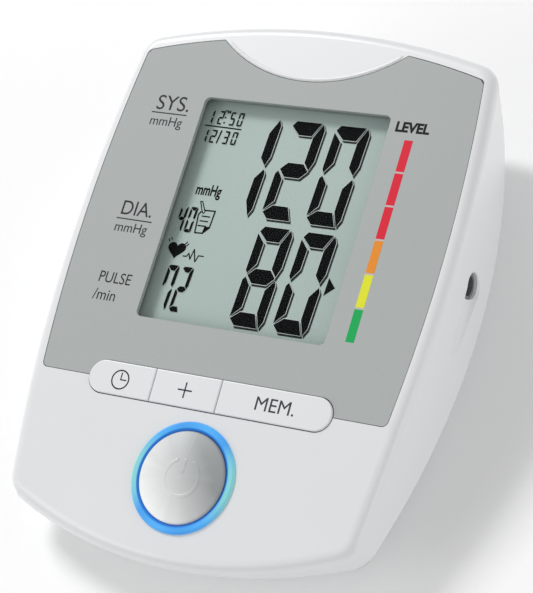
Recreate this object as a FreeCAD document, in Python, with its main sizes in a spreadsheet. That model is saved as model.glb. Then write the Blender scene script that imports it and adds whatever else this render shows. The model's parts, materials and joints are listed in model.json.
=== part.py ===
"""Desktop upper arm blood pressure monitor, as separate pieces.

Frames used below, all in millimetres:
  world    +Z up, +Y towards the raised back edge, X = 0 is the plane of symmetry
           and Z = 0 is the table under the rubber feet.
  display  the flat face that carries the grey panel. Its origin is on the crease
           line where the two top faces meet, +Y runs up the face, +Z stands out of it.
  control  the steeper face in front of the crease, with the buttons. Same origin.
"""
import FreeCAD, Part
import Sketcher
import math
import os

from FreeCAD import Placement, Rotation, Vector

doc = FreeCAD.newDocument("BloodPressureMonitor")

# ---------------------------------------------------------------- driving dimensions
DIMENSIONS = (
    ("display_tilt", 12.0, "slope of the display face, degrees"),
    ("control_tilt", 15.0, "slope of the control face, degrees"),
    ("crease_level", 25.2, "height of the crease line above the table"),
    ("crease_blend", 120.0, "radius that rounds the crease"),
    ("parting_level", 11.5, "height of the joint between the two case halves"),
    ("belly_level", 1.5, "underside of the lower case"),
    ("wall_thick", 2.2, "side wall thickness"),
    ("roof_thick", 3.0, "thickness of the top of the case"),
    ("floor_thick", 2.0, "thickness of the floor"),
    ("edge_round", 2.8, "rounding of the top edge"),
    ("corner_round", 6.5, "plan radius of the case corners"),
    ("hull_inset", 9.0, "how far the lower case narrows below the joint"),
    ("panel_half_width", 49.8, "half width of the grey panel at its widest"),
    ("panel_foot_half", 47.5, "half width of the grey panel along its lower edge"),
    ("panel_head_half", 47.2, "half width of the grey panel at its upper corners"),
    ("panel_head_y", 88.2, "upper corners, measured up the face"),
    ("panel_corner_r", 1.4, "rounding of the grey panel's corners"),
    ("panel_sink", 1.2, "depth of the recess that holds the panel"),
    ("panel_thick", 1.1, "panel thickness"),
    ("panel_gap", 0.2, "groove between the panel and the case"),
    ("scoop_half", 25.9, "half width of the finger scoop"),
    ("scoop_top_y", 92.9, "upper ends of the scoop"),
    ("scoop_low_y", 83.5, "lowest point of the scoop"),
    ("glass_width", 52.5, "display opening, across"),
    ("glass_height", 60.2, "display opening, up the face"),
    ("glass_low_y", 16.6, "lower edge of the display opening"),
    ("lens_margin", 2.4, "how far the lens reaches under the panel"),
    ("lens_thick", 1.2, "lens thickness"),
    ("lcd_depth", 3.5, "front of the display glass below the face"),
    ("lcd_thick", 2.1, "display glass thickness"),
    ("board_depth", 7.2, "top of the main board below the display face"),
    ("board_thick", 1.2, "circuit board thickness"),
    ("key_board_depth", 7.3, "top of the key board below the control face"),
    ("bar_left", -33.3, "left end of the button bar"),
    ("bar_right", 33.7, "right end of the button bar"),
    ("bar_half", 4.15, "half height of the button bar"),
    ("clock_end", -15.0, "joint between the clock and plus buttons"),
    ("plus_end", 3.4, "joint between the plus and memory buttons"),
    ("key_gap", 0.25, "gap round a button"),
    ("key_rise", 0.45, "how far the bar buttons stand out"),
    ("start_y", -20.8, "centre of the start button on the control face"),
    ("start_r", 11.4, "start button radius"),
    ("ring_inner_r", 11.65, "light ring, inner radius"),
    ("ring_outer_r", 13.7, "light ring, outer radius"),
    ("switch_side", 6.0, "side of a key switch"),
    ("switch_tall", 3.5, "height of a key switch body"),
    ("plunger_r", 1.7, "key switch plunger radius"),
    ("plunger_level", -2.3, "top of a plunger, from the control face"),
    ("cell_r", 7.15, "battery radius"),
    ("cell_long", 49.2, "battery body length"),
    ("cell_nub", 1.0, "height of the battery's positive end"),
    ("cell_pitch", 14.5, "distance between batteries"),
    ("tray_x", -4.0, "middle of the battery tray"),
    ("tray_front", 18.4, "inside front of the battery tray"),
    ("tray_long", 54.2, "inside length of the battery tray"),
    ("tray_wide", 58.6, "inside width of the battery tray"),
    ("tray_roof", 18.4, "inside top of the battery tray"),
    ("tray_wall", 1.2, "tray wall thickness"),
    ("door_gap", 0.3, "gap round the battery door"),
    ("pin_r", 0.6, "battery door hinge pin radius"),
    ("pin_gap", 0.05, "gap round a hinge pin"),
    ("pin_reach", 1.6, "how far a hinge pin enters the case"),
    ("pump_y", 85.6, "pump axis, Y"),
    ("pump_z", 14.2, "pump axis, Z"),
    ("pump_r", 10.0, "pump and motor radius"),
    ("shaft_r", 1.0, "motor shaft radius"),
    ("socket_y", 42.8, "air socket axis, Y"),
    ("socket_z", 20.7, "air socket axis, Z"),
    ("socket_bore_r", 2.5, "bore that takes the cuff's air plug"),
    ("socket_bore_long", 11.0, "depth of that bore"),
    ("socket_face_x", 52.0, "mouth of the air socket"),
    ("plug_cup_x", 56.0, "centre line of the recess for the plug, X"),
    ("plug_cup_r", 4.6, "radius of the recess round the socket"),
    ("trough_tip_r", 2.4, "radius of the recess at its front end"),
    ("trough_long", 17.5, "length of the recess in front of the socket"),
    ("trough_tilt", 3.6, "slope of the recess, degrees"),
    ("foot_r", 4.0, "rubber foot radius"),
    ("screw_r", 1.25, "case screw thread radius"),
    ("screw_head_r", 2.5, "case screw head radius"),
)

sheet = doc.addObject("Spreadsheet::Sheet", "Sizes")
for row, (alias, value, note) in enumerate(DIMENSIONS, 1):
    sheet.set(f"A{row}", note)
    sheet.set(f"B{row}", str(value))
    sheet.setAlias(f"B{row}", alias)
doc.recompute()


def size(alias):
    """The value of one cell."""
    return float(sheet.get(alias))


def bound(formula):
    """A formula over cell aliases, written out for setExpression."""
    text = str(formula)
    words = sorted((alias for alias, _, _ in DIMENSIONS), key=len, reverse=True)
    for index, alias in enumerate(words):
        text = text.replace(alias, f"#{index}#")
    for index, alias in enumerate(words):
        text = text.replace(f"#{index}#", f"Sizes.{alias}")
    return text


# ---------------------------------------------------------------- frames and helpers
CREASE = Vector(0, 0, size("crease_level"))
X_AXIS = Vector(1, 0, 0)
WORLD = Placement()
DISPLAY = Placement(CREASE, Rotation(X_AXIS, size("display_tilt")))
CONTROL = Placement(CREASE, Rotation(X_AXIS, size("control_tilt")))
ALONG_X = Rotation(Vector(0, 1, 0), 90)
ALONG_Y = Rotation(Vector(1, 0, 0), -90)

NODES = {}


def primitive(kind, name, at=(0, 0, 0), turn=Rotation(), **formulas):
    """A Part primitive whose sizes and place are bound to the sheet."""
    piece = doc.addObject("Part::" + kind, name)
    piece.Placement = Placement(Vector(), turn)
    for prop, formula in formulas.items():
        piece.setExpression(prop, bound(formula))
    for axis, formula in zip("xyz", at):
        piece.setExpression("Placement.Base." + axis, bound(formula))
    return piece


def box(name, low, extent):
    return primitive("Box", name, low, Length=extent[0], Width=extent[1], Height=extent[2])


def cylinder(name, at, radius, height, turn=Rotation()):
    return primitive("Cylinder", name, at, turn, Radius=radius, Height=height)


def fuse(name, pieces, frame=WORLD):
    """All pieces as one object, moved into the frame."""
    whole = doc.addObject("Part::MultiFuse" if len(pieces) > 1 else "Part::Compound", name)
    if len(pieces) > 1:
        whole.Shapes = pieces
    else:
        whole.Links = pieces
    whole.Placement = frame
    return whole


def separate(name, pieces, frame=WORLD):
    """Identical loose pieces that share one node."""
    whole = doc.addObject("Part::Compound", name)
    whole.Links = pieces
    whole.Placement = frame
    return whole


def cut(name, base, tools, frame=WORLD):
    result = doc.addObject("Part::Cut", name)
    result.Base = base
    result.Tool = tools[0] if len(tools) == 1 else fuse(name + "_tools", tools)
    result.Placement = frame
    return result


def feature(name, shape, frame=WORLD):
    """A Part::Feature, for shapes that no parametric feature gives."""
    piece = doc.addObject("Part::Feature", name)
    piece.Shape = shape
    piece.Placement = frame
    return piece


def node(name, piece):
    """Give a finished piece the label that names its file."""
    piece.Label = name
    NODES[name] = piece
    return piece


def origin_plane(body, role):
    return next(item for item in body.Origin.OriginFeatures if item.Role == role)


def sketch_on(body, name, role="XY_Plane", level="0"):
    """A sketch on one of the body's own planes, raised by a bound offset."""
    sketch = body.newObject("Sketcher::SketchObject", name)
    sketch.AttachmentSupport = [(origin_plane(body, role), "")]
    sketch.MapMode = "FlatFace"
    sketch.setExpression("AttachmentOffset.Base.z", bound(level))
    return sketch


def turned(name, corners, at=(0, 0, 0), turn=Rotation()):
    """A PartDesign revolution about its own Z axis. Corners are (radius, level) formulas."""
    body = doc.addObject("PartDesign::Body", name)
    sketch = sketch_on(body, name + "_profile", "XZ_Plane")
    places = [tuple(float(sheet_value(f)) for f in corner) for corner in corners]
    count = len(places)
    for here, there in zip(places, places[1:] + places[:1]):
        sketch.addGeometry(Part.LineSegment(Vector(*here, 0), Vector(*there, 0)), False)
    for index in range(count):
        sketch.addConstraint(
            Sketcher.Constraint("Coincident", index, 2, (index + 1) % count, 1))
    for index, (corner, place) in enumerate(zip(corners, places)):
        for kind, formula, value in zip(("DistanceX", "DistanceY"), corner, place):
            number = sketch.addConstraint(
                Sketcher.Constraint(kind, -1, 1, index, 1, value))
            if any(letter.isalpha() for letter in str(formula)):
                sketch.setExpression(f"Constraints[{number}]", bound(formula))
    spin = body.newObject("PartDesign::Revolution", name + "_turn")
    spin.Profile = sketch
    spin.ReferenceAxis = (sketch, ["V_Axis"])
    spin.Angle = 360
    body.Tip = spin
    body.Placement = Placement(Vector(*(sheet_value(f) for f in at)), turn)
    return body


def sheet_value(formula):
    """The present value of a formula over cell aliases."""
    text = str(formula)
    for alias, _, _ in sorted(DIMENSIONS, key=lambda entry: -len(entry[0])):
        text = text.replace(alias, f"({size(alias)})")
    return arithmetic(text)


def arithmetic(text):
    """Work out a formula of numbers with the sheet's own expression engine."""
    sheet.set("D1", "=" + text)
    doc.recompute([sheet])
    return float(sheet.get("D1"))


def through(*points):
    """An arc through three points of the XY plane."""
    return Part.Arc(*(Vector(x, y, 0) for x, y in points)).toShape()


def line(here, there):
    return Part.LineSegment(Vector(*here, 0), Vector(*there, 0)).toShape()


def padded(name, edges, level, height):
    """A PartDesign pad of a closed outline, from level upwards."""
    body = doc.addObject("PartDesign::Body", name)
    sketch = sketch_on(body, name + "_outline", "XY_Plane", level)
    add_outline(sketch, edges)
    pad = body.newObject("PartDesign::Pad", name + "_pad")
    pad.Profile = sketch
    pad.setExpression("Length", bound(height))
    body.Tip = pad
    return body


def add_outline(sketch, edges):
    """Draw edges into a sketch and join neighbouring ends."""
    for edge in edges:
        if isinstance(edge.Curve, Part.Circle):
            sketch.addGeometry(Part.ArcOfCircle(edge.Curve, *edge.ParameterRange), False)
        else:
            ends = [vertex.Point for vertex in edge.Vertexes]
            sketch.addGeometry(Part.LineSegment(*ends), False)


def pocket(body, name, edges, level, depth):
    """A PartDesign pocket that cuts down from level."""
    sketch = sketch_on(body, name + "_outline", "XY_Plane", level)
    add_outline(sketch, edges)
    hollow = body.newObject("PartDesign::Pocket", name)
    hollow.Profile = sketch
    hollow.setExpression("Length", bound(depth))
    body.Tip = hollow
    return hollow


def raise_pad(body, name, edges, level, height):
    """A further PartDesign pad on the same body."""
    sketch = sketch_on(body, name + "_outline", "XY_Plane", level)
    add_outline(sketch, edges)
    pad = body.newObject("PartDesign::Pad", name)
    pad.Profile = sketch
    pad.setExpression("Length", bound(height))
    body.Tip = pad
    return pad


def rectangle(left, low, right, high):
    corners = [(left, low), (right, low), (right, high), (left, high)]
    return [line(a, b) for a, b in zip(corners, corners[1:] + corners[:1])]


def rounded_rectangle(left, low, right, high, radius):
    """A rectangle with arcs for corners, anticlockwise."""
    diag = radius * (1 - math.sqrt(0.5))
    return [
        line((left + radius, low), (right - radius, low)),
        through((right - radius, low), (right - diag, low + diag), (right, low + radius)),
        line((right, low + radius), (right, high - radius)),
        through((right, high - radius), (right - diag, high - diag), (right - radius, high)),
        line((right - radius, high), (left + radius, high)),
        through((left + radius, high), (left + diag, high - diag), (left, high - radius)),
        line((left, high - radius), (left, low + radius)),
        through((left, low + radius), (left + diag, low + diag), (left + radius, low)),
    ]


def tube(path, radius, bend, bore=0.0):
    """A round tube along straight runs joined by tangent arcs."""
    points = [Vector(*point) for point in path]
    edges = []
    start = points[0]
    for before, corner, after in zip(points, points[1:], points[2:]):
        way_in = (corner - before).normalize()
        way_out = (after - corner).normalize()
        half_turn = way_in.getAngle(way_out) / 2
        back = bend * math.tan(half_turn)
        first = corner - way_in * back
        last = corner + way_out * back
        inward = (way_out - way_in).normalize()
        centre = corner + inward * (bend / math.cos(half_turn))
        middle = centre - inward * bend
        edges.append(Part.LineSegment(start, first).toShape())
        edges.append(Part.Arc(first, middle, last).toShape())
        start = last
    edges.append(Part.LineSegment(start, points[-1]).toShape())
    spine = Part.Wire(edges)
    facing = (points[1] - points[0]).normalize()
    outer = spine.makePipeShell([Part.Wire(Part.makeCircle(radius, points[0], facing))], True)
    if not bore:
        return outer
    inner = spine.makePipeShell([Part.Wire(Part.makeCircle(bore, points[0], facing))], True)
    return outer.cut(inner)


# ---------------------------------------------------------------- the case's outer form
class Outline:
    """Plan outline of four arcs: two long sides, a front and a back."""

    def __init__(self, half, widest_y, side_radius, front_y, front_side_y, back_y, back_side_y):
        self.half = half
        self.widest_y = widest_y
        self.side_radius = side_radius
        self.front_y = front_y
        self.front_side_y = front_side_y
        self.back_y = back_y
        self.back_side_y = back_side_y

    def reach(self, y):
        """Half width at y."""
        return self.half - (y - self.widest_y) ** 2 / (2 * self.side_radius)

    def inset(self, margin, front_margin=None):
        """The same outline, smaller by a margin all round."""
        front = margin if front_margin is None else front_margin
        return Outline(self.half - margin, self.widest_y, self.side_radius,
                       self.front_y + front, self.front_side_y + front,
                       self.back_y - margin, self.back_side_y - margin)

    def wire(self, level, frame=WORLD):
        """The outline at a level of the frame."""
        front = (self.reach(self.front_side_y), self.front_side_y)
        back = (self.reach(self.back_side_y), self.back_side_y)
        waist_y = (self.front_side_y + self.back_side_y) / 2
        waist = (self.reach(waist_y), waist_y)
        edges = [
            through(front, waist, back),
            through(back, (0, self.back_y), (-back[0], back[1])),
            through((-back[0], back[1]), (-waist[0], waist[1]), (-front[0], front[1])),
            through((-front[0], front[1]), (0, self.front_y), front),
        ]
        ring = Part.Wire(edges)
        ring.translate(Vector(0, 0, level))
        ring.Placement = frame.multiply(ring.Placement)
        return ring


JOINT = Outline(half=55.1, widest_y=20.0, side_radius=200.0,
                front_y=-40.0, front_side_y=-29.0, back_y=101.0, back_side_y=98.5)
CROWN = Outline(half=53.5, widest_y=64.0, side_radius=454.0,
                front_y=-38.3, front_side_y=-29.5, back_y=99.5, back_side_y=91.5)
CROWN_LIFT = 6.0


def walls(low_wire, high_wire, radius):
    """A ruled solid between two outlines, with its four corners rounded."""
    solid = Part.makeLoft([low_wire, high_wire], True, True)
    corners = [edge for edge in solid.Edges if is_rising(edge)]
    return solid.makeFillet(radius, corners)


def is_rising(edge):
    ends = [vertex.Point for vertex in edge.Vertexes]
    return len(ends) == 2 and abs(ends[0].z - ends[1].z) > 4 and edge.Length < 60 and \
        abs(ends[0].x - ends[1].x) < 15 and abs(ends[0].y - ends[1].y) < 15


def under_roof(drop):
    """Everything below the two top faces, lowered by drop, as a long prism."""
    half_bend = math.radians(size("control_tilt") - size("display_tilt")) / 2
    blend = size("crease_blend")
    reach = blend * math.tan(half_bend)
    far = 140.0
    facing = {}
    for name, frame in (("display", DISPLAY), ("control", CONTROL)):
        facing[name] = frame.Rotation
    crease = CREASE - (facing["display"].multVec(Vector(0, 0, 1))
                       + facing["control"].multVec(Vector(0, 0, 1))) * (drop / 2)
    up_face = facing["display"].multVec(Vector(0, 1, 0))
    down_face = facing["control"].multVec(Vector(0, -1, 0))
    first = crease + down_face * far
    arc_start = crease + down_face * reach
    arc_end = crease + up_face * reach
    last = crease + up_face * far
    sag = blend * (1 / math.cos(half_bend) - 1)
    middle = crease - Vector(0, 0, sag)
    floor_front = Vector(0, first.y, -5)
    floor_back = Vector(0, last.y, -5)
    edges = [
        Part.LineSegment(first, arc_start).toShape(),
        Part.Arc(arc_start, middle, arc_end).toShape(),
        Part.LineSegment(arc_end, last).toShape(),
        Part.LineSegment(last, floor_back).toShape(),
        Part.LineSegment(floor_back, floor_front).toShape(),
        Part.LineSegment(floor_front, first).toShape(),
    ]
    face = Part.Face(Part.Wire(edges))
    face.translate(Vector(-80, 0, 0))
    return face.extrude(Vector(160, 0, 0))


def upper_outer():
    """The upper case before anything is cut into it."""
    block = walls(JOINT.wire(size("parting_level")),
                  CROWN.wire(CROWN_LIFT, DISPLAY), size("corner_round"))
    block = block.common(under_roof(0.0))
    block = block.Solids[0]
    rim = [edge for edge in block.Edges if on_roof_rim(edge)]
    return block.makeFillet(size("edge_round"), rim)


def on_roof_rim(edge):
    """True for the edges between the top faces and the side walls."""
    parameters = [edge.getParameterByLength(edge.Length * part) for part in (0.1, 0.5, 0.9)]
    points = [edge.valueAt(parameter) for parameter in parameters]
    if any(abs(point.z - roof_level(point.y)) > 0.2 for point in points):
        return False
    return not all(abs(point.x) < 30 for point in points[:1] + points[2:]) or \
        min(abs(points[1].y - side) for side in (-39, 97)) < 6


def roof_level(y):
    tilt = size("display_tilt") if y > 0 else size("control_tilt")
    return size("crease_level") + y * math.tan(math.radians(tilt))


def upper_inner():
    """The hollow inside the upper case."""
    wall = size("wall_thick")
    block = walls(JOINT.inset(wall).wire(size("parting_level")),
                  CROWN.inset(wall).wire(CROWN_LIFT, DISPLAY), size("corner_round") - wall)
    return block.common(under_roof(size("roof_thick"))).Solids[0]


def hull(inset, low_level, high_level):
    """The lower case's form: it narrows from the joint to the floor."""
    reach = size("hull_inset")
    span = size("parting_level") - size("belly_level")

    def shrink(level):
        return inset + reach * (size("parting_level") - level) / span

    return walls(JOINT.inset(shrink(low_level)).wire(low_level),
                 JOINT.inset(shrink(high_level)).wire(high_level),
                 size("corner_round") - inset)


# ---------------------------------------------------------------- outlines on the faces
def panel_edges(margin=0.0):
    """The grey panel: bowed sides, a pointed top and the finger scoop between its points."""
    half = size("panel_half_width") + margin
    foot = size("panel_foot_half") + margin
    head, head_y = size("panel_head_half") + margin, size("panel_head_y") + margin
    tip, tip_y = size("scoop_half"), size("scoop_top_y") + margin
    low_y, waist_y = size("scoop_low_y") + margin, size("panel_head_y") * 0.465
    shoulder = ((head + tip) / 2, (head_y + tip_y) / 2 + 0.4)
    edges = [
        line((-foot, -margin), (foot, -margin)),
        through((foot, -margin), (half, waist_y), (head, head_y)),
        through((head, head_y), shoulder, (tip, tip_y)),
        through((tip, tip_y), (0, low_y), (-tip, tip_y)),
        through((-tip, tip_y), (-shoulder[0], shoulder[1]), (-head, head_y)),
        through((-head, head_y), (-half, waist_y), (-foot, -margin)),
    ]
    return rounded_corners(edges, [(foot, -margin), (head, head_y), (-head, head_y),
                                   (-foot, -margin)], size("panel_corner_r") + margin)


def rounded_corners(edges, spots, radius):
    """The same outline, with arcs in place of its corners at the given spots."""
    block = Part.Face(Part.Wire(Part.__sortEdges__(edges))).extrude(Vector(0, 0, 1))
    rising = [edge for edge in block.Edges
              if any((edge.CenterOfMass - Vector(x, y, 0.5)).Length < 0.01 for x, y in spots)]
    rounded = block.makeFillet(radius, rising)
    foot = min(rounded.Faces, key=lambda face: face.CenterOfMass.z)
    return foot.OuterWire.Edges


def pill_edges(left, right, half):
    """A bar with round ends along the crease."""
    return [
        line((left + half, -half), (right - half, -half)),
        through((right - half, -half), (right, 0), (right - half, half)),
        line((right - half, half), (left + half, half)),
        through((left + half, half), (left, 0), (left + half, -half)),
    ]


def prism(name, edges, low, high, frame=WORLD):
    """A cutting block with the given outline."""
    face = Part.Face(Part.Wire(Part.__sortEdges__(edges)))
    face.translate(Vector(0, 0, low))
    return feature(name, face.extrude(Vector(0, 0, high - low)), frame)


def window_box(margin, low, high, name, frame=WORLD):
    """A block the size of the display opening plus a margin."""
    half = size("glass_width") / 2 + margin
    foot = size("glass_low_y") - margin
    head = size("glass_low_y") + size("glass_height") + margin
    return prism(name, rounded_rectangle(-half, foot, half, head, 1.5), low, high, frame)


FAR = 12.0
HINGE = ("tray_front + door_gap + floor_thick / 2", "belly_level + floor_thick / 2")
SCREW_SPOTS = ((-38.0, -10.0), (38.0, -10.0), (-33.0, 83.5), (33.0, 83.5))
FOOT_SPOTS = ((-33.0, -16.0), (33.0, -16.0), (-27.0, 86.0), (27.0, 86.0))
BOARD_SPOTS = ((-31.3, 11.0), (31.3, 11.0), (-31.3, 77.6), (31.3, 77.6))
KEY_BOARD_SPOTS = ((-28.5, -14.0), (28.5, -14.0))
VALVE = (31.5, 40.0, 9.7)
TEE = (31.5, 64.5, 14.2)
SENSOR_BRANCH_Y = 69.8
SOCKET_NIPPLE_X = 43.5
KEY_SPOTS = {
    "clock": (-24.2, 0.0),
    "plus": (-5.8, 0.0),
    "memory": (18.6, 0.0),
    "start": (0.0, size("start_y")),
}


# ---------------------------------------------------------------- case
def make_upper_case():
    outer = feature("upper_skin", upper_outer())
    hollow = feature("upper_hollow", upper_inner())
    bosses = [
        cylinder(f"upper_boss_{i}", (x, y, "parting_level"), 3.0, 40)
        for i, (x, y) in enumerate(SCREW_SPOTS)
    ]
    pad = box("socket_pad", (48.6, 20.0, "parting_level"), (8, 30, 17))
    posts = [
        fuse("board_posts", [cylinder(f"board_post_{i}", (x, y, "-board_depth"), 2.2, 12)
                             for i, (x, y) in enumerate(BOARD_SPOTS)], DISPLAY),
        fuse("key_board_posts", [cylinder(f"key_post_{i}", (x, y, "-key_board_depth"), 2.2, 12)
                                 for i, (x, y) in enumerate(KEY_BOARD_SPOTS)], CONTROL),
    ]
    inside = cut("upper_room", hollow, bosses + posts + [pad])
    shelled = cut("upper_shell", outer, [inside])

    recess = prism("panel_recess", panel_edges(size("panel_gap")), -size("panel_sink"), FAR,
                   DISPLAY)
    lens_margin = size("lens_margin") + 0.1
    lens_seat = window_box(lens_margin, -size("panel_sink") - size("lens_thick"), 0,
                           "lens_seat", DISPLAY)
    opening = window_box(0.8, -FAR, 0, "window_opening", DISPLAY)
    gap = size("key_gap")
    bar = prism("bar_opening",
                pill_edges(size("bar_left") - gap, size("bar_right") + gap,
                           size("bar_half") + gap), -FAR, FAR, CONTROL)
    ring = fuse("ring_opening", [cylinder("ring_hole", (0, "start_y", -FAR),
                                          "ring_outer_r", 2 * FAR)], CONTROL)
    holes = [
        cylinder(f"upper_screw_hole_{i}", (x, y, "parting_level - 1"), "screw_r", 8.5)
        for i, (x, y) in enumerate(SCREW_SPOTS)
    ]
    socket_hole = cylinder("socket_hole", (40, "socket_y", "socket_z"), 3.3, 20, ALONG_X)
    cup = primitive("Sphere", "plug_cup", ("plug_cup_x", "socket_y", "socket_z"),
                    Radius="plug_cup_r")
    trough = primitive("Cone", "plug_trough", ("plug_cup_x", "socket_y", "socket_z"),
                       Rotation(Vector(1, 0, 0), 90 + size("trough_tilt")),
                       Radius1="plug_cup_r - 0.2", Radius2="trough_tip_r",
                       Height="trough_long")
    slope = math.radians(size("trough_tilt"))
    trough_tip = primitive("Sphere", "plug_trough_tip", (
        "plug_cup_x", size("socket_y") - size("trough_long") * math.cos(slope),
        size("socket_z") - size("trough_long") * math.sin(slope)), Radius="trough_tip_r")
    small_holes = [
        fuse("board_post_holes", [cylinder(f"board_post_hole_{i}", (x, y, "-board_depth - 1"),
                                           0.9, 4.2)
                                  for i, (x, y) in enumerate(BOARD_SPOTS)], DISPLAY),
        fuse("key_post_holes", [cylinder(f"key_post_hole_{i}", (x, y, "-key_board_depth - 1"),
                                         0.9, 4.2)
                                for i, (x, y) in enumerate(KEY_BOARD_SPOTS)], CONTROL),
    ]
    return node("upper_case", cut("upper_case_body", shelled, [
        recess, lens_seat, opening, bar, ring, socket_hole, cup, trough, trough_tip]
        + holes + small_holes))


def tray_box(name, margin, low, high):
    """A block round the battery tray, grown by a margin sideways."""
    left = f"tray_x - tray_wide / 2 - {margin}"
    front = f"tray_front - {margin}"
    return box(name, (left, front, low),
               (f"tray_wide + {2 * margin}", f"tray_long + {2 * margin}", f"{high} - ({low})"))


def make_lower_case():
    floor_top = size("belly_level") + size("floor_thick")
    outer = feature("hull_skin", hull(0.0, size("belly_level"), size("parting_level")))
    hollow = feature("hull_hollow", hull(size("wall_thick"), floor_top,
                                         size("parting_level")))
    shell = cut("hull_shell", outer, [hollow])
    tray = tray_box("tray_block", 1.2, "belly_level", "tray_roof + tray_wall")
    posts = [
        cylinder(f"lower_post_{i}", (x, y, "belly_level"), 3.4, "parting_level - belly_level")
        for i, (x, y) in enumerate(SCREW_SPOTS)
    ]
    valve_post = box("valve_post", (VALVE[0] - 3.5, VALVE[1] + 2, "belly_level + 1"),
                     (7, 8, f"{VALVE[2]} - belly_level - 1"))
    solid = fuse("hull_with_tray", [shell, tray, valve_post] + posts)
    cell_room = tray_box("tray_room", 0, "belly_level - 1", "tray_roof")
    pin_hole = cylinder("hinge_pin_hole", ("tray_x - tray_wide / 2 - pin_reach - 0.2", *HINGE),
                        "pin_r + pin_gap", "tray_wide + 2 * pin_reach + 0.4", ALONG_X)
    holes = []
    for i, (x, y) in enumerate(SCREW_SPOTS):
        holes.append(cylinder(f"screw_way_{i}", (x, y, 0), "screw_r + 0.25", 20))
        holes.append(cylinder(f"head_way_{i}", (x, y, 0), "screw_head_r + 0.3", 5.0))
    for i, (x, y) in enumerate(FOOT_SPOTS):
        holes.append(cylinder(f"foot_seat_{i}", (x, y, 0), "foot_r", "belly_level + 0.6"))
    return node("lower_case", cut("lower_case_body", solid, [cell_room, pin_hole] + holes))


def make_battery_door():
    """The door, with a round front edge and a hinge pin at each front corner."""
    plate = box("door_plate", ("tray_x - tray_wide / 2 + door_gap", HINGE[0], "belly_level"),
                ("tray_wide - 2 * door_gap", "tray_long - 2 * door_gap - floor_thick / 2",
                 "floor_thick"))
    barrel = cylinder("door_barrel", ("tray_x - tray_wide / 2 + door_gap", *HINGE),
                      "floor_thick / 2", "tray_wide - 2 * door_gap", ALONG_X)
    pin = cylinder("door_pin", ("tray_x - tray_wide / 2 - pin_reach", *HINGE), "pin_r",
                   "tray_wide + 2 * pin_reach", ALONG_X)
    grips = [
        cylinder(f"door_grip_{i}", (-14, y, "belly_level - 0.6"), 0.8, 20, ALONG_X)
        for i, y in enumerate((60.0, 62.6, 65.2, 67.8))
    ]
    body = fuse("door_body", [plate, barrel, pin])
    return node("battery_door", cut("door_cut", body, grips))


# ---------------------------------------------------------------- face of the monitor
def make_display_panel():
    body = padded("panel_body", panel_edges(), "-panel_sink", "panel_thick")
    half = size("glass_width") / 2
    low, high = size("glass_low_y"), size("glass_low_y") + size("glass_height")
    pocket(body, "panel_window", rounded_rectangle(-half, low, half, high, 1.6), "1", "4")
    gap = size("key_gap")
    pocket(body, "panel_notch",
           pill_edges(size("bar_left") - gap, size("bar_right") + gap,
                      size("bar_half") + gap), "1", "4")
    body.Placement = DISPLAY
    return node("display_panel", body)


def make_display_window():
    body = padded("lens_body", rounded_rectangle(
        -size("glass_width") / 2 - size("lens_margin"), size("glass_low_y") - size("lens_margin"),
        size("glass_width") / 2 + size("lens_margin"),
        size("glass_low_y") + size("glass_height") + size("lens_margin"), 1.5),
        "-panel_sink - lens_thick", "lens_thick")
    body.Placement = DISPLAY
    return node("display_window", body)


def make_lcd():
    """The display glass, the frame that holds it, and its two rubber contact strips."""
    half, low = size("glass_width") / 2 + 1.0, size("glass_low_y") - 2.0
    high = size("glass_low_y") + size("glass_height") + 1.0
    glass = padded("lcd_body", rectangle(-half, low, half, high),
                   "-lcd_depth - lcd_thick", "lcd_thick")
    glass.Placement = DISPLAY
    node("lcd_glass", glass)

    frame = padded("lcd_frame_body", rounded_rectangle(
        -half - 1.6, low - 1.6, half + 1.6, high + 1.2, 1.0), "-board_depth",
        "board_depth - roof_thick - 0.1")
    pocket(frame, "lcd_seat", rectangle(-half - 0.05, low - 0.05, half + 0.05, high + 0.05),
           "0", "lcd_depth + lcd_thick")
    pocket(frame, "strip_way_low", rectangle(-half + 2, low + 0.4, half - 2, low + 2.8),
           "0", "9")
    pocket(frame, "strip_way_high", rectangle(-half + 2, high - 2.8, half - 2, high - 0.4),
           "0", "9")
    frame.Placement = DISPLAY
    node("lcd_frame", frame)

    for name, foot in (("lower_contact_strip", low + 0.5), ("upper_contact_strip", high - 2.7)):
        strip = box(name + "_bar", (-half + 2.2, foot, "-board_depth"),
                    (2 * half - 4.4, 2.2, "board_depth - lcd_depth - lcd_thick"))
        node(name, fuse(name + "_placed", [strip], DISPLAY))


def key_outline(left, right, round_left, round_right):
    """One button of the bar, with a round end where it is the first or the last."""
    half = size("bar_half")
    edges = [line((left + half * round_left, -half), (right - half * round_right, -half))]
    if round_right:
        edges.append(through((right - half, -half), (right, 0), (right - half, half)))
    else:
        edges.append(line((right, -half), (right, half)))
    edges.append(line((right - half * round_right, half), (left + half * round_left, half)))
    if round_left:
        edges.append(through((left + half, half), (left, 0), (left + half, -half)))
    else:
        edges.append(line((left, half), (left, -half)))
    return edges


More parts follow.
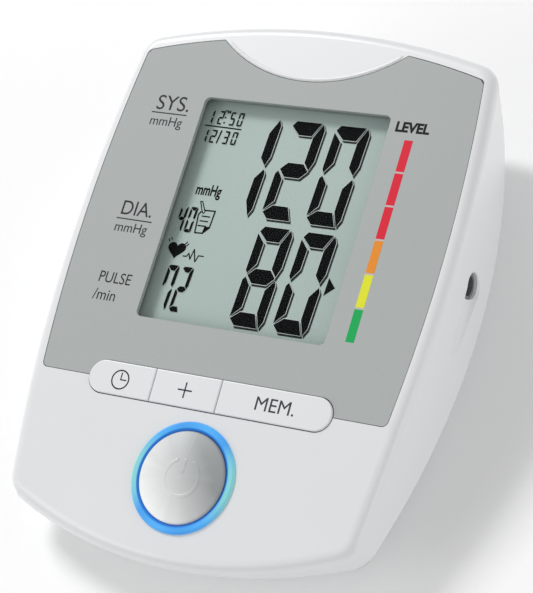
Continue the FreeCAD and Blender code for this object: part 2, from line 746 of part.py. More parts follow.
def make_bar_button(name, left, right, round_left, round_right):
    """A hollow key with a flange under the roof, open below over its switch."""
    body = padded(name + "_body", key_outline(left, right, round_left, round_right),
                  "-roof_thick - 0.5", "roof_thick + 0.5 + key_rise")
    raise_pad(body, name + "_flange",
              key_outline(left - 0.8 * round_left, right + 0.8 * round_right,
                          round_left, round_right),
              "-roof_thick - 1.1", "0.8")
    x, y = KEY_SPOTS[name.split("_")[0]]
    reach = size("switch_side") / 2 + 0.35
    pocket(body, name + "_well", rectangle(x - reach, y - reach, x + reach, y + reach),
           "plunger_level", "5")
    doc.recompute()
    last = body.Tip
    round_over = body.newObject("PartDesign::Fillet", name + "_edge")
    top = size("key_rise")
    names = [f"Edge{i}" for i, edge in enumerate(last.Shape.Edges, 1)
             if all(abs(vertex.Z - top) < 1e-4 for vertex in edge.Vertexes)]
    round_over.Base = (last, names)
    round_over.Radius = 0.35
    body.Tip = round_over
    body.Placement = CONTROL
    return node(name, body)


def make_start_button():
    """A domed disc, hollow below, with a flange that the ring keeps in."""
    radius = size("start_r")
    rise, rim = 2.3, 0.9
    dome_r = (radius ** 2 + (rise - rim) ** 2) / (2 * (rise - rim))
    core = cylinder("start_core", (0, 0, -5.6), "start_r", 8.0)
    dome = primitive("Sphere", "start_dome", (0, 0, rise - dome_r), Radius=dome_r)
    cap = doc.addObject("Part::Common", "start_cap")
    cap.Base, cap.Tool = core, dome
    rounded = doc.addObject("Part::Fillet", "start_rounded")
    rounded.Base = cap
    doc.recompute()
    rounded.Edges = [(i, 0.6, 0.6) for i, edge in enumerate(cap.Shape.Edges, 1)
                     if abs(edge.BoundBox.ZMin - rim) < 0.05
                     and abs(edge.BoundBox.ZMax - rim) < 0.05]
    flange = cylinder("start_flange", (0, 0, -5.6), "start_r + 1.4", 1.0)
    well = cylinder("start_well", (0, 0, -9), 9.5, "9 + plunger_level")
    whole = fuse("start_whole", [rounded, flange])
    hollowed = cut("start_hollowed", whole, [well])
    frame = CONTROL.multiply(Placement(Vector(0, size("start_y"), 0), Rotation()))
    hollowed.Placement = frame
    return node("start_button", hollowed)


def make_light_ring():
    """The clear ring round the start button, with a flange under the roof."""
    inner, outer = "ring_inner_r", "ring_outer_r"
    body = turned("ring_body", [
        (inner, -4.2), (f"{outer} + 1.5", -4.2), (f"{outer} + 1.5", "-roof_thick - 0.25"),
        (outer, "-roof_thick - 0.25"), (outer, 0.35), (f"{outer} - 0.5", 0.75),
        (f"{inner} + 0.4", 0.75), (inner, 0.45)])
    body.Placement = CONTROL.multiply(Placement(Vector(0, size("start_y"), 0), Rotation()))
    return node("light_ring", body)


# ---------------------------------------------------------------- circuit boards
def make_boards():
    main = box("main_board_plate", (-33.2, 8.6, "-board_depth - board_thick"),
               (66.4, 71.2, "board_thick"))
    main_holes = [
        cylinder(f"board_hole_{i}", (x, y, -20), 1.0, 30)
        for i, (x, y) in enumerate(BOARD_SPOTS)
    ]
    node("main_board", cut("main_board_cut", main, main_holes, DISPLAY))
    low = "-key_board_depth - board_thick"
    keys = box("key_board_plate", (-32, -31, low), (64, 36, "board_thick"))
    key_holes = [
        cylinder(f"key_board_hole_{i}", (x, y, -20), 1.0, 30)
        for i, (x, y) in enumerate(KEY_BOARD_SPOTS)
    ]
    node("key_board", cut("key_board_cut", keys, key_holes, CONTROL))


def make_switches():
    """Four key switches on the key board, each with its own plunger."""
    side = size("switch_side")
    for name, (x, y) in KEY_SPOTS.items():
        shell = box(f"{name}_switch_shell", (x - side / 2, y - side / 2, "-key_board_depth"),
                    ("switch_side", "switch_side", "switch_tall"))
        way = cylinder(f"{name}_switch_way", (x, y, "-key_board_depth + 0.9"),
                       "plunger_r + 0.05", 10)
        node(f"{name}_switch", cut(f"{name}_switch_cut", shell, [way], CONTROL))
        stem = cylinder(f"{name}_stem", (x, y, "-key_board_depth + 1.5"), "plunger_r",
                        "key_board_depth - 1.5 + plunger_level")
        node(f"{name}_plunger", fuse(f"{name}_plunger_placed", [stem], CONTROL))


def make_ring_lights():
    """Small lamps on the key board under the ring's flange."""
    lamps = []
    for index in range(6):
        angle = math.radians(30 + 60 * index)
        x, y = 14.6 * math.cos(angle), size("start_y") + 14.6 * math.sin(angle)
        lamps.append(box(f"lamp_{index}", (x - 0.8, y - 0.8, "-key_board_depth"),
                         (1.6, 1.6, 0.8)))
    return node("ring_lamps", separate("ring_lamps_set", lamps, CONTROL))


def make_board_parts():
    """What hangs from the underside of the main board."""
    under = "-board_depth - board_thick"
    chip = box("controller_block", (0, 50, f"{under} - 1.6"), (11, 11, 1.6))
    node("controller_chip", fuse("controller_placed", [chip], DISPLAY))
    buzzer = cylinder("buzzer_can", (-14, 60, f"{under} - 4.2"), 6.0, 4.2)
    sound_hole = cylinder("buzzer_hole", (-14, 60, f"{under} - 5"), 1.0, 2)
    node("buzzer", cut("buzzer_cut", buzzer, [sound_hole], DISPLAY))
    block = box("sensor_block", (26.8, 30, f"{under} - 4.6"), (6.2, 9, 4.6))
    nipple = cylinder("sensor_nipple", (29.9, 38.8, f"{under} - 2.8"), 1.7, 4, ALONG_Y)
    bore = cylinder("sensor_bore", (29.9, 37, f"{under} - 2.8"), 0.6, 8, ALONG_Y)
    node("pressure_sensor", cut("sensor_cut", fuse("sensor_fused", [block, nipple]),
                                [bore], DISPLAY))
    header = box("header_bar", (-8, 9.2, f"{under} - 2.4"), (16, 2.4, 2.4))
    node("board_connector", fuse("header_placed", [header], DISPLAY))


def screw(name, at, head_r, head_tall, thread_r, reach, turn=Rotation()):
    """A pan head screw whose head lies below its thread."""
    body = turned(name, [(0, 0), (head_r, 0), (head_r, head_tall), (thread_r, head_tall),
                         (thread_r, reach), (0, reach + 0.7)], at, turn)
    return body


def make_screws():
    case_screws = [
        screw(f"case_screw_{i}", (x, y, 3.2), "screw_head_r", 1.8, "screw_r", 14.4)
        for i, (x, y) in enumerate(SCREW_SPOTS)
    ]
    node("case_screws", separate("case_screws_set", case_screws))
    for name, spots, depth, frame in (
            ("board_screws", BOARD_SPOTS, size("board_depth"), DISPLAY),
            ("key_board_screws", KEY_BOARD_SPOTS, size("key_board_depth"), CONTROL)):
        level = -depth - size("board_thick")
        small = [
            screw(f"{name}_{i}", (x, y, level - 1.1), 1.7, 1.1, 0.9, 4.5)
            for i, (x, y) in enumerate(spots)
        ]
        node(name, separate(name + "_set", small, frame))


# ---------------------------------------------------------------- power
def cell_x(index):
    return size("tray_x") + (index - 1.5) * size("cell_pitch")


def make_batteries():
    """Four cells side by side, turned end for end in turn."""
    axis_z = size("belly_level") + size("floor_thick") + 0.3 + size("cell_r")
    nub, long = size("cell_nub"), size("cell_long")
    plate, room = 0.4, size("tray_long")
    for index in range(4):
        corners = [(0, 0), ("cell_r - 0.5", 0), ("cell_r", 0.5), ("cell_r", "cell_long - 0.5"),
                   ("cell_r - 0.5", "cell_long"), (2.7, "cell_long"),
                   (2.7, "cell_long + cell_nub"), (0, "cell_long + cell_nub")]
        front = size("tray_front")
        if index % 2:
            at = (cell_x(index), front + plate + long + nub, axis_z)
            turn = Rotation(Vector(1, 0, 0), 90)
        else:
            at = (cell_x(index), front + room - plate - long - nub, axis_z)
            turn = ALONG_Y
        node(f"battery_{index + 1}", turned(f"cell_{index + 1}", corners, at, turn))
    plates, springs = [], []
    for index in range(4):
        for side, y in ((0, size("tray_front")), (1, size("tray_front") + room - plate)):
            plates.append(box(f"contact_{index}_{side}", (cell_x(index) - 5.5, y, axis_z - 5),
                              (11, plate, 10)))
        spring_y = size("tray_front") + plate if index % 2 == 0 else \
            size("tray_front") + room - plate
        way = 1 if index % 2 == 0 else -1
        coils = []
        for turn_number in range(6):
            coils.append(primitive(
                "Torus", f"coil_{index}_{turn_number}",
                (cell_x(index), spring_y + way * (0.35 + 0.5 * turn_number), axis_z),
                ALONG_Y, Radius1=4.2 - 0.3 * turn_number, Radius2=0.35))
        springs.append(fuse(f"spring_{index}", coils))
    node("contact_plates", separate("contact_plates_set", plates))
    node("battery_springs", separate("battery_springs_set", springs))


# ---------------------------------------------------------------- air system
def make_pump():
    """Motor and diaphragm pump on one axis along X, behind the battery tray."""
    axis = ("pump_y", "pump_z")
    shell = cylinder("motor_shell", (-26, *axis), "pump_r", 26, ALONG_X)
    room = cylinder("motor_room", (-25, *axis), "pump_r - 0.8", 24.2, ALONG_X)
    bore = cylinder("motor_bore", (-27, *axis), "shaft_r + 0.05", 60, ALONG_X)
    node("motor_can", cut("motor_can_cut", shell, [room, bore]))

    ring = cylinder("magnet_ring", (-22, *axis), "pump_r - 0.8", 18, ALONG_X)
    middle = cylinder("magnet_middle", (-23, *axis), "pump_r - 2.2", 20, ALONG_X)
    gap = box("magnet_gap", (-24, "pump_y - 2", "pump_z - 12"), (30, 4, 24))
    node("motor_magnets", cut("motor_magnets_cut", ring, [middle, gap]))

    core = cylinder("rotor_core", (-20.5, *axis), "pump_r - 2.8", 15, ALONG_X)
    slots = []
    for index in range(3):
        angle = math.radians(90 + 120 * index)
        y = size("pump_y") + 6.6 * math.cos(angle)
        z = size("pump_z") + 6.6 * math.sin(angle)
        slots.append(cylinder(f"rotor_slot_{index}", (-21, y, z), 1.6, 16, ALONG_X))
    drum = cut("rotor_drum", core, slots)
    commutator = cylinder("rotor_commutator", (-24.4, *axis), 2.6, 4.4, ALONG_X)
    shaft = cylinder("rotor_shaft", (-25.9, *axis), "shaft_r", 33, ALONG_X)
    node("motor_rotor", fuse("motor_rotor_fused", [drum, commutator, shaft]))

    hub = cylinder("crank_hub", (1.4, *axis), 4.2, 3.4, ALONG_X)
    pin = cylinder("crank_pin", (4.8, "pump_y", "pump_z + 2.4"), 0.9, 2.4, ALONG_X)
    way = cylinder("crank_way", (0, *axis), "shaft_r", 8, ALONG_X)
    node("pump_crank", cut("crank_cut", fuse("crank_fused", [hub, pin]), [way]))

    head = cylinder("head_shell", (0, *axis), "pump_r", 14, ALONG_X)
    head_room = cylinder("head_room", (0.9, *axis), 8.6, 14, ALONG_X)
    head_bore = cylinder("head_bore", (-1, *axis), "shaft_r + 0.05", 4, ALONG_X)
    node("pump_head", cut("pump_head_cut", head, [head_room, head_bore]))

    disc = cylinder("diaphragm_disc", (11.6, *axis), 8.6, 2.4, ALONG_X)
    cups = []
    for index in range(3):
        angle = math.radians(30 + 120 * index)
        y = size("pump_y") + 5.0 * math.cos(angle)
        z = size("pump_z") + 5.0 * math.sin(angle)
        cups.append(cylinder(f"diaphragm_cup_{index}", (8.4, y, z), 2.6, 4, ALONG_X))
    node("pump_diaphragm", fuse("diaphragm_fused", [disc] + cups))

    cover = cylinder("cover_disc", (14, *axis), "pump_r", 4, ALONG_X)
    spout = cylinder("cover_spout", (17, *axis), 1.7, 6, ALONG_X)
    spout_bore = cylinder("cover_bore", (15, *axis), 0.9, 10, ALONG_X)
    node("pump_cover", cut("cover_cut", fuse("cover_fused", [cover, spout]), [spout_bore]))

    saddle = box("cushion_block", (-21, "pump_y - 8", 3.5), (14, 12, 5.2))
    lying = cylinder("cushion_hollow", (-30, *axis), "pump_r", 60, ALONG_X)
    node("pump_cushion", cut("cushion_cut", saddle, [lying]))


def make_valve():
    """The release valve: a coil in a frame, and a plunger that slides in it."""
    x, y, z = VALVE
    frame_block = box("valve_block", (x - 4.5, y, z), (9, 12, 9))
    bore = cylinder("valve_bore", (x, y - 1, z + 4.5), 1.55, 11, ALONG_Y)
    spout = cylinder("valve_spout", (x, y + 11, z + 4.5), 1.7, 5.5, ALONG_Y)
    vent = cylinder("valve_vent", (x, y + 9, z + 4.5), 0.8, 9, ALONG_Y)
    node("valve_body", cut("valve_cut", fuse("valve_fused", [frame_block, spout]),
                           [bore, vent]))
    rod = cylinder("valve_rod", (x, y - 1.6, z + 4.5), 1.5, 10.6, ALONG_Y)
    button = cylinder("valve_disc", (x, y - 2.4, z + 4.5), 3.0, 0.9, ALONG_Y)
    node("valve_plunger", fuse("valve_plunger_fused", [rod, button]))


def make_air_socket():
    """The socket in the right side wall that takes the cuff's air plug."""
    face, bore_long = "socket_face_x", "socket_bore_long"
    outer = [(0, f"-{bore_long} - 1.4"), (3.25, f"-{bore_long} - 1.4"), (3.25, 0),
             ("socket_bore_r", 0), ("socket_bore_r", f"-{bore_long}"), (0, f"-{bore_long}")]
    body = turned("air_socket_body", outer, (face, "socket_y", "socket_z"), ALONG_X)
    nipple = cylinder("socket_nipple", (SOCKET_NIPPLE_X, "socket_y + 2.8", "socket_z"),
                      1.7, 5.7, ALONG_Y)
    bore = cylinder("socket_nipple_bore", (SOCKET_NIPPLE_X, "socket_y", "socket_z"),
                    0.9, 11, ALONG_Y)
    whole = fuse("air_socket_fused", [body, nipple])
    return node("air_socket", cut("air_socket_cut", whole, [bore]))


def make_tubes():
    """The tee and the soft tubes between pump, valve, sensor and socket."""
    x, y, z = TEE
    block = box("tee_block", (x - 1.9, y - 1.9, z - 1.9), (3.8, SENSOR_BRANCH_Y - y + 3.8, 3.8))
    run = cylinder("tee_run", (x, y - 6, z), 1.7, 15.5, ALONG_Y)
    side = cylinder("tee_side", (x + 1.0, y, z), 1.7, 5, ALONG_X)
    top = cylinder("tee_top", (x, SENSOR_BRANCH_Y, z + 1.0), 1.7, 5)
    bores = [
        cylinder("tee_run_bore", (x, y - 7, z), 0.9, 18, ALONG_Y),
        cylinder("tee_side_bore", (x, y, z), 0.7, 8, ALONG_X),
        cylinder("tee_top_bore", (x, SENSOR_BRANCH_Y, z), 0.7, 8),
    ]
    node("air_tee", cut("tee_cut", fuse("tee_fused", [block, run, side, top]), bores))

    socket_y, socket_z = size("socket_y"), size("socket_z")
    pump_y, pump_z = size("pump_y"), size("pump_z")
    sensor = DISPLAY.multVec(Vector(29.9, 39.2, -size("board_depth")
                                    - size("board_thick") - 2.8))
    rise = DISPLAY.Rotation.multVec(Vector(0, 20, 0))
    beside = SOCKET_NIPPLE_X
    routes = {
        "socket_tube": ([(beside, socket_y + 5.0, socket_z), (beside, socket_y + 14, socket_z),
                         (beside, y, z), (x + 2.5, y, z)], 3.6),
        "pump_tube": ([(x, SENSOR_BRANCH_Y + 2, z), (x, 75.2, z), (27.3, 79.8, z),
                       (27.3, pump_y, pump_z), (19.5, pump_y, pump_z)], 3.4),
        "valve_tube": ([(x, VALVE[1] + 12.5, z), (x, y - 2, z)], 4.0),
        "sensor_tube": ([tuple(sensor), tuple(sensor + rise),
                         (x, SENSOR_BRANCH_Y, 27.4), (x, SENSOR_BRANCH_Y, z + 2.5)], 4.0),
    }
    for name, (path, bend) in routes.items():
        node(name, feature(name + "_swept", tube(path, 2.4, bend, 1.7)))


def make_leads():
    """Thin leads from the motor and the battery contacts up to the main board."""
    def board_underside(y):
        depth = size("board_depth") + size("board_thick")
        tilt = math.radians(size("display_tilt"))
        return size("crease_level") + y * math.tan(tilt) - depth / math.cos(tilt) + 0.02

    motor, power = [], []
    for index, side in enumerate((-3.0, 3.0)):
        y, z = size("pump_y") + side, size("pump_z") + 4
        end_y = 74.0 + side
        motor.append(feature(f"motor_lead_{index}", tube(
            [(-26, y, z), (-28.4, y, z), (-28.4, y, 24.5), (-24, end_y, 26.0),
             (-24, end_y, board_underside(end_y) - 0.3)], 0.55, 1.2)))
    for index in (0, 3):
        x, z = cell_x(index), 11.0
        power.append(feature(f"power_lead_{index}", tube(
            [(x, size("tray_front") - size("tray_wall"), z), (x, 12.0, z),
             (x, 12.0, board_underside(12.0) - 0.1)], 0.55, 2.5)))
    node("motor_leads", separate("motor_leads_set", motor))
    node("battery_leads", separate("battery_leads_set", power))


def make_feet():
    feet = []
    for index, (x, y) in enumerate(FOOT_SPOTS):
        feet.append(turned(f"foot_{index}", [
            (0, 0), ("foot_r - 0.5", 0), ("foot_r", 0.5), ("foot_r", "belly_level + 0.6"),
            (0, "belly_level + 0.6")], (x, y, 0)))
    return node("rubber_feet", separate("rubber_feet_set", feet))


def build():
    make_upper_case()
    make_lower_case()
    make_battery_door()
    make_display_panel()
    make_display_window()
    make_lcd()
    make_bar_button("clock_button", size("bar_left"), size("clock_end") - 0.1, True, False)
    make_bar_button("plus_button", size("clock_end") + 0.1, size("plus_end") - 0.1,
                    False, False)
    make_bar_button("memory_button", size("plus_end") + 0.1, size("bar_right"), False, True)
    make_start_button()
    make_light_ring()
    make_boards()
    make_switches()
    make_ring_lights()
    make_board_parts()
    make_screws()
    make_batteries()
    make_pump()
    make_valve()
    make_air_socket()
    make_tubes()
    make_leads()
    make_feet()


def check():
    """Stop if anything failed to build."""
    doc.recompute()
    for item in doc.Objects:
        if any(flag in item.State for flag in ("Invalid", "Error")):
            raise RuntimeError(f"{item.Name} did not build: {item.State}")
    for name, piece in NODES.items():
        if piece.Shape.isNull() or not piece.Shape.isValid():
            raise RuntimeError(f"{name} has no valid shape")
        if not piece.Shape.Solids:
            raise RuntimeError(f"{name} has no solid")


def export():
    """Write every piece, with the origin moved under the middle of the case."""
    os.makedirs("parts", exist_ok=True)
    to_middle = Vector(0, -(JOINT.front_y + JOINT.back_y) / 2, 0)
    for name, piece in NODES.items():
        shape = piece.Shape.copy()
        shape.translate(to_middle)
        shape.exportStep(f"parts/{name}.step")
        print(f"{name:22s} solids {len(shape.Solids)}  volume {shape.Volume:10.1f}")


build()
check()
export()
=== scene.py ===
"""Looks of a desktop upper arm blood pressure monitor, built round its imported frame.

The scene is in metres. Sizes on the two sloping faces are in millimetres, and spot()
brings them into the scene. Three frames are used:
  row      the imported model's own frame, +Z up, +Y towards the raised back edge.
  DISPLAY  the flat face that carries the panel: +Y runs up the face, +Z stands out of it.
  CONTROL  the steeper face with the buttons. Both start on the crease between the faces.
"""

import json
import logging
import math
from dataclasses import dataclass
from enum import Enum
from typing import Callable, Iterable, NamedTuple, Optional, Sequence, Union

import bmesh
import bpy
from mathutils import Matrix, Vector

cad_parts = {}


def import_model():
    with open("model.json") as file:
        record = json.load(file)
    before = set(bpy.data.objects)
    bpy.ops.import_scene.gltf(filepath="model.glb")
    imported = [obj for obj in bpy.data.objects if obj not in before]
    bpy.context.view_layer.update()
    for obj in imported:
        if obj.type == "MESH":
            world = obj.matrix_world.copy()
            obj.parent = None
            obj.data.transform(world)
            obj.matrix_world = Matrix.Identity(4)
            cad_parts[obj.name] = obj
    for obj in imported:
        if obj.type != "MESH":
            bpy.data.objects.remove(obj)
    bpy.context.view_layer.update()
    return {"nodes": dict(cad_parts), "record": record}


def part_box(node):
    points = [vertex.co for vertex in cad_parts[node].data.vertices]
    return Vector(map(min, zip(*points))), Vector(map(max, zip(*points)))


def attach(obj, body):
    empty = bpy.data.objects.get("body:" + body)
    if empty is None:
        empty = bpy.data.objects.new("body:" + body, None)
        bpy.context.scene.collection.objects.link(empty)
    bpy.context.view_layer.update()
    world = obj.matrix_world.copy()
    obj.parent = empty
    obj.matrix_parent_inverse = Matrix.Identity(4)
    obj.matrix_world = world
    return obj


logging.basicConfig(level=logging.INFO, format="%(name)s: %(message)s")
LOG = logging.getLogger("monitor")

MM = 0.001
Colour = tuple[float, float, float]
Point = tuple[float, float]
Outline = list[Point]
Paints = dict[str, bpy.types.Material]

CREASE = Vector((0.0, -30.5 * MM, 25.2 * MM))
DISPLAY_TILT = math.radians(12.0)
CONTROL_TILT = math.radians(15.0)
DISPLAY = Matrix.Translation(CREASE) @ Matrix.Rotation(DISPLAY_TILT, 4, "X")
CONTROL = Matrix.Translation(CREASE) @ Matrix.Rotation(CONTROL_TILT, 4, "X")
START_Y = -20.8  # middle of the start button down the control face, in millimetres


# ------------------------------------------------------------------ shader expressions
Value = Union["Sock", float, int, Sequence[float]]
Key = Union[int, str]

MIX_FACTOR, MIX_FIRST, MIX_SECOND, MIX_COLOUR = 0, 6, 7, 2  # a Mix node's colour sockets
COLOUR_SOCKETS = ("Base Color", "Emission Color")


class Sock:
    """One output socket, with the operators that shader maths needs."""

    def __init__(self, graph: "Graph", node: bpy.types.Node, output: Key = 0) -> None:
        """Name an output of a graph's node."""
        self.graph, self.node, self.output = graph, node, output

    @property
    def socket(self) -> bpy.types.NodeSocket:
        """The output socket itself."""
        return self.node.outputs[self.output]

    def _math(self, operation: str, left: Value, right: Value = 0.0,
              clamp: bool = False) -> "Sock":
        """Add one Math node.

        Args:
            operation: the Math node's operation.
            left: first input.
            right: second input.
            clamp: keep the result between 0 and 1.

        Returns:
            The node's value.
        """
        return self.graph.node("ShaderNodeMath", {"operation": operation, "use_clamp": clamp},
                               {0: left, 1: right})

    def __add__(self, other: Value) -> "Sock":
        """Sum."""
        return self._math("ADD", self, other)

    __radd__ = __add__

    def __sub__(self, other: Value) -> "Sock":
        """Difference."""
        return self._math("SUBTRACT", self, other)

    def __rsub__(self, other: Value) -> "Sock":
        """Difference, the other way round."""
        return self._math("SUBTRACT", other, self)

    def __mul__(self, other: Value) -> "Sock":
        """Product."""
        return self._math("MULTIPLY", self, other)

    __rmul__ = __mul__

    def __truediv__(self, other: Value) -> "Sock":
        """Quotient."""
        return self._math("DIVIDE", self, other)

    def __rtruediv__(self, other: Value) -> "Sock":
        """Quotient, the other way round."""
        return self._math("DIVIDE", other, self)

    def __pow__(self, other: Value) -> "Sock":
        """Power."""
        return self._math("POWER", self, other)

    def __rpow__(self, other: Value) -> "Sock":
        """Power, the other way round."""
        return self._math("POWER", other, self)

    def sine(self) -> "Sock":
        """Sine of an angle."""
        return self._math("SINE", self)

    def cosine(self) -> "Sock":
        """Cosine of an angle."""
        return self._math("COSINE", self)

    def angle_from(self, across: "Sock") -> "Sock":
        """Angle of the point that lies this far along and that far across."""
        return self._math("ARCTAN2", self, across)

    def clamped(self) -> "Sock":
        """The same value kept between 0 and 1."""
        return self._math("ADD", self, 0.0, clamp=True)

    def ramp(self, low: float, high: float) -> "Sock":
        """0 at low, 1 at high, straight between them."""
        return ((self - low) * (1.0 / (high - low))).clamped()

    def around(self, middle: float, spread: float) -> "Sock":
        """A value from 0 to 1 turned into one that varies about a middle."""
        return middle + (self - 0.5) * spread

    def part(self, axis: str) -> "Sock":
        """One component of a vector, by its letter."""
        return self.graph.node("ShaderNodeSeparateXYZ", {}, {0: self}, axis)


def opaque(colour: Value) -> Value:
    """A plain colour with an alpha of 1. A linked value stays as it is."""
    return colour if isinstance(colour, Sock) else (*colour[:3], 1.0)


def shaded(colour: Colour, times: float, plus: float = 0.0) -> Colour:
    """A colour made paler or deeper."""
    return tuple(min(1.0, part * times + plus) for part in colour)


class Graph:
    """A material's node tree, filled through one method."""

    def __init__(self, name: str) -> None:
        """Start an empty material.

        Args:
            name: the material's name.
        """
        self.material = bpy.data.materials.new(name)
        self.material.use_nodes = True
        self.tree = self.material.node_tree
        self.tree.nodes.clear()

    def node(self, kind: str, settings: dict[str, object], inputs: dict[Key, Value],
             output: Key = 0) -> Sock:
        """Add any node.

        Args:
            kind: the node's type.
            settings: properties, set before the inputs; "stops" fills a colour ramp.
            inputs: values or links by socket name or number.
            output: the output wanted.

        Returns:
            That output.
        """
        made = self.tree.nodes.new(kind)
        for key, setting in settings.items():
            if key == "stops":
                self._fill_ramp(made, setting)
            else:
                setattr(made, key, setting)
        for key, value in inputs.items():
            if isinstance(value, Sock):
                self.tree.links.new(value.socket, made.inputs[key])
            else:
                made.inputs[key].default_value = value
        return Sock(self, made, output)

    @staticmethod
    def _fill_ramp(made: bpy.types.Node, stops: Iterable[tuple[float, Colour]]) -> None:
        """Give a colour ramp its stops.

        Args:
            made: the colour ramp node.
            stops: position and colour of each stop.
        """
        elements = made.color_ramp.elements
        for number, (position, colour) in enumerate(stops):
            stop = elements[number] if number < len(elements) else elements.new(position)
            stop.position = position
            stop.color = opaque(colour)

    def where(self) -> Sock:
        """Object coordinates, which are metres in the row frame."""
        return self.node("ShaderNodeTexCoord", {}, {}, "Object")

    def noise(self, scale: float, detail: float = 2.0, rough: float = 0.5,
              stretch: Optional[Sequence[float]] = None) -> Sock:
        """Fractal noise over the surface, from 0 to 1.

        Args:
            scale: features per metre.
            detail: number of finer layers.
            rough: strength of the finer layers.
            stretch: scale along each axis, where the features are drawn out.

        Returns:
            The noise value.
        """
        place = self.where()
        if stretch is not None:
            place = self.node("ShaderNodeMapping", {}, {"Vector": place, "Scale": stretch})
        return self.node("ShaderNodeTexNoise", {}, {
            "Vector": place, "Scale": scale, "Detail": detail, "Roughness": rough})

    def noise_along(self, value: Sock, scale: float, detail: float, rough: float) -> Sock:
        """Fractal noise that varies with one value only.

        Args:
            value: what it varies with.
            scale: features for each unit of the value.
            detail: number of finer layers.
            rough: strength of the finer layers.

        Returns:
            The noise value.
        """
        return self.node("ShaderNodeTexNoise", {"noise_dimensions": "1D"}, {
            "W": value, "Scale": scale, "Detail": detail, "Roughness": rough})

    def mix(self, factor: Value, first: Value, second: Value) -> Sock:
        """Mix two colours.

        Args:
            factor: share of the second colour.
            first: a plain or linked colour.
            second: another.

        Returns:
            The mixed colour.
        """
        return self.node("ShaderNodeMix", {"data_type": "RGBA"}, {
            MIX_FACTOR: factor, MIX_FIRST: opaque(first), MIX_SECOND: opaque(second)},
            MIX_COLOUR)

    def bump(self, height: Sock, strength: float, depth: float) -> Sock:
        """A normal that follows a height from 0 to 1, which stands for depth millimetres."""
        return self.node("ShaderNodeBump", {}, {
            "Height": height, "Strength": strength, "Distance": depth * MM})

    def principled(self, **sockets: Value) -> Sock:
        """A Principled BSDF.

        Args:
            **sockets: values or links by socket name, with _ for blanks.

        Returns:
            The shader.
        """
        inputs = {name.replace("_", " "): value for name, value in sockets.items()}
        for name in COLOUR_SOCKETS:
            if name in inputs:
                inputs[name] = opaque(inputs[name])
        return self.node("ShaderNodeBsdfPrincipled", {}, inputs)

    def finish(self, surface: Sock) -> bpy.types.Material:
        """Link the surface to the output and return the material."""
        self.node("ShaderNodeOutputMaterial", {}, {"Surface": surface})
        return self.material


# ------------------------------------------------------------------ finishes
class Tone(Enum):
    """Linear colours of the plain finishes."""

    CASE = (0.800, 0.812, 0.824)
    KEY = (0.815, 0.832, 0.848)
    PANEL = (0.418, 0.446, 0.440)
    # painted shade: the grey of the shade band in the display window's recess
    WINDOW_EDGE = (0.330, 0.370, 0.360)
    INK = (0.020, 0.022, 0.025)
    KEY_INK = (0.050, 0.055, 0.062)
    SEGMENT = (0.0030, 0.0035, 0.0040)
    RED = (0.700, 0.018, 0.042)
    ORANGE = (0.790, 0.270, 0.028)
    YELLOW = (0.740, 0.760, 0.032)
    GREEN = (0.010, 0.395, 0.095)
    LCD = (0.425, 0.515, 0.488)
    RIM = (0.560, 0.620, 0.600)
    BACKING = (0.520, 0.480, 0.480)


@dataclass(frozen=True)
class Finish:
    """A named material. Each kind of finish gives its own surface."""

    name: str

    def surface(self, graph: Graph) -> Sock:
        """The shader of this kind of finish."""
        raise NotImplementedError(self.name)

    def make(self) -> bpy.types.Material:
        """Build the material."""
        graph = Graph(self.name)
        return graph.finish(self.surface(graph))


@dataclass(frozen=True)
class MouldedPlastic(Finish):
    """Moulded plastic with a faint spark texture, flow shading and handling marks."""

    colour: Colour
    roughness: float = 0.30
    coat: float = 0.0
    flow: float = 0.985
    clouds: float = 28.0
    handling: float = 90.0
    wear: float = 0.06
    sparks: float = 1800.0
    spark_depth: float = 0.04
    spark_strength: float = 0.06

    def surface(self, graph: Graph) -> Sock:
        """Clouded colour, worn gloss and a sparked skin.

        Args:
            graph: the material's nodes.

        Returns:
            The shader.
        """
        cloud, handling, sparks = (
            graph.noise(scale) for scale in (self.clouds, self.handling, self.sparks))
        colour = graph.mix(cloud.ramp(0.35, 0.65), self.colour, shaded(self.colour, self.flow))
        return graph.principled(
            Base_Color=colour, Roughness=handling.around(self.roughness, self.wear),
            Normal=graph.bump(sparks, self.spark_strength, self.spark_depth), IOR=1.5,
            Coat_Weight=self.coat, Coat_Roughness=0.25)


@dataclass(frozen=True)
class PrintedPanel(Finish):
    """Satin lacquered panel with fine metallic flakes."""

    colour: Colour
    flakes: float = 5200.0
    clouds: float = 16.0
    lacquer: float = 2600.0
    pale: float = 1.05
    deep: float = 0.95
    flake_share: float = 0.45

    def surface(self, graph: Graph) -> Sock:
        """Flakes over a slow cloud of tone.

        Args:
            graph: the material's nodes.

        Returns:
            The shader.
        """
        flakes = graph.node("ShaderNodeTexVoronoi", {"feature": "F1"}, {
            "Vector": graph.where(), "Scale": self.flakes}, "Color")
        sparkle = graph.node("ShaderNodeRGBToBW", {}, {0: flakes})
        pale, deep = shaded(self.colour, self.pale), shaded(self.colour, self.deep)
        base = graph.mix(sparkle.ramp(0.2, 0.8), deep, pale)
        cloud = graph.mix(graph.noise(self.clouds).ramp(0.3, 0.7), self.colour, pale)
        return graph.principled(
            Base_Color=graph.mix(1.0 - self.flake_share, base, cloud),
            Roughness=0.52 + sparkle * 0.10, Specular_IOR_Level=0.25,
            Normal=graph.bump(graph.noise(self.lacquer), 0.08, 0.03))


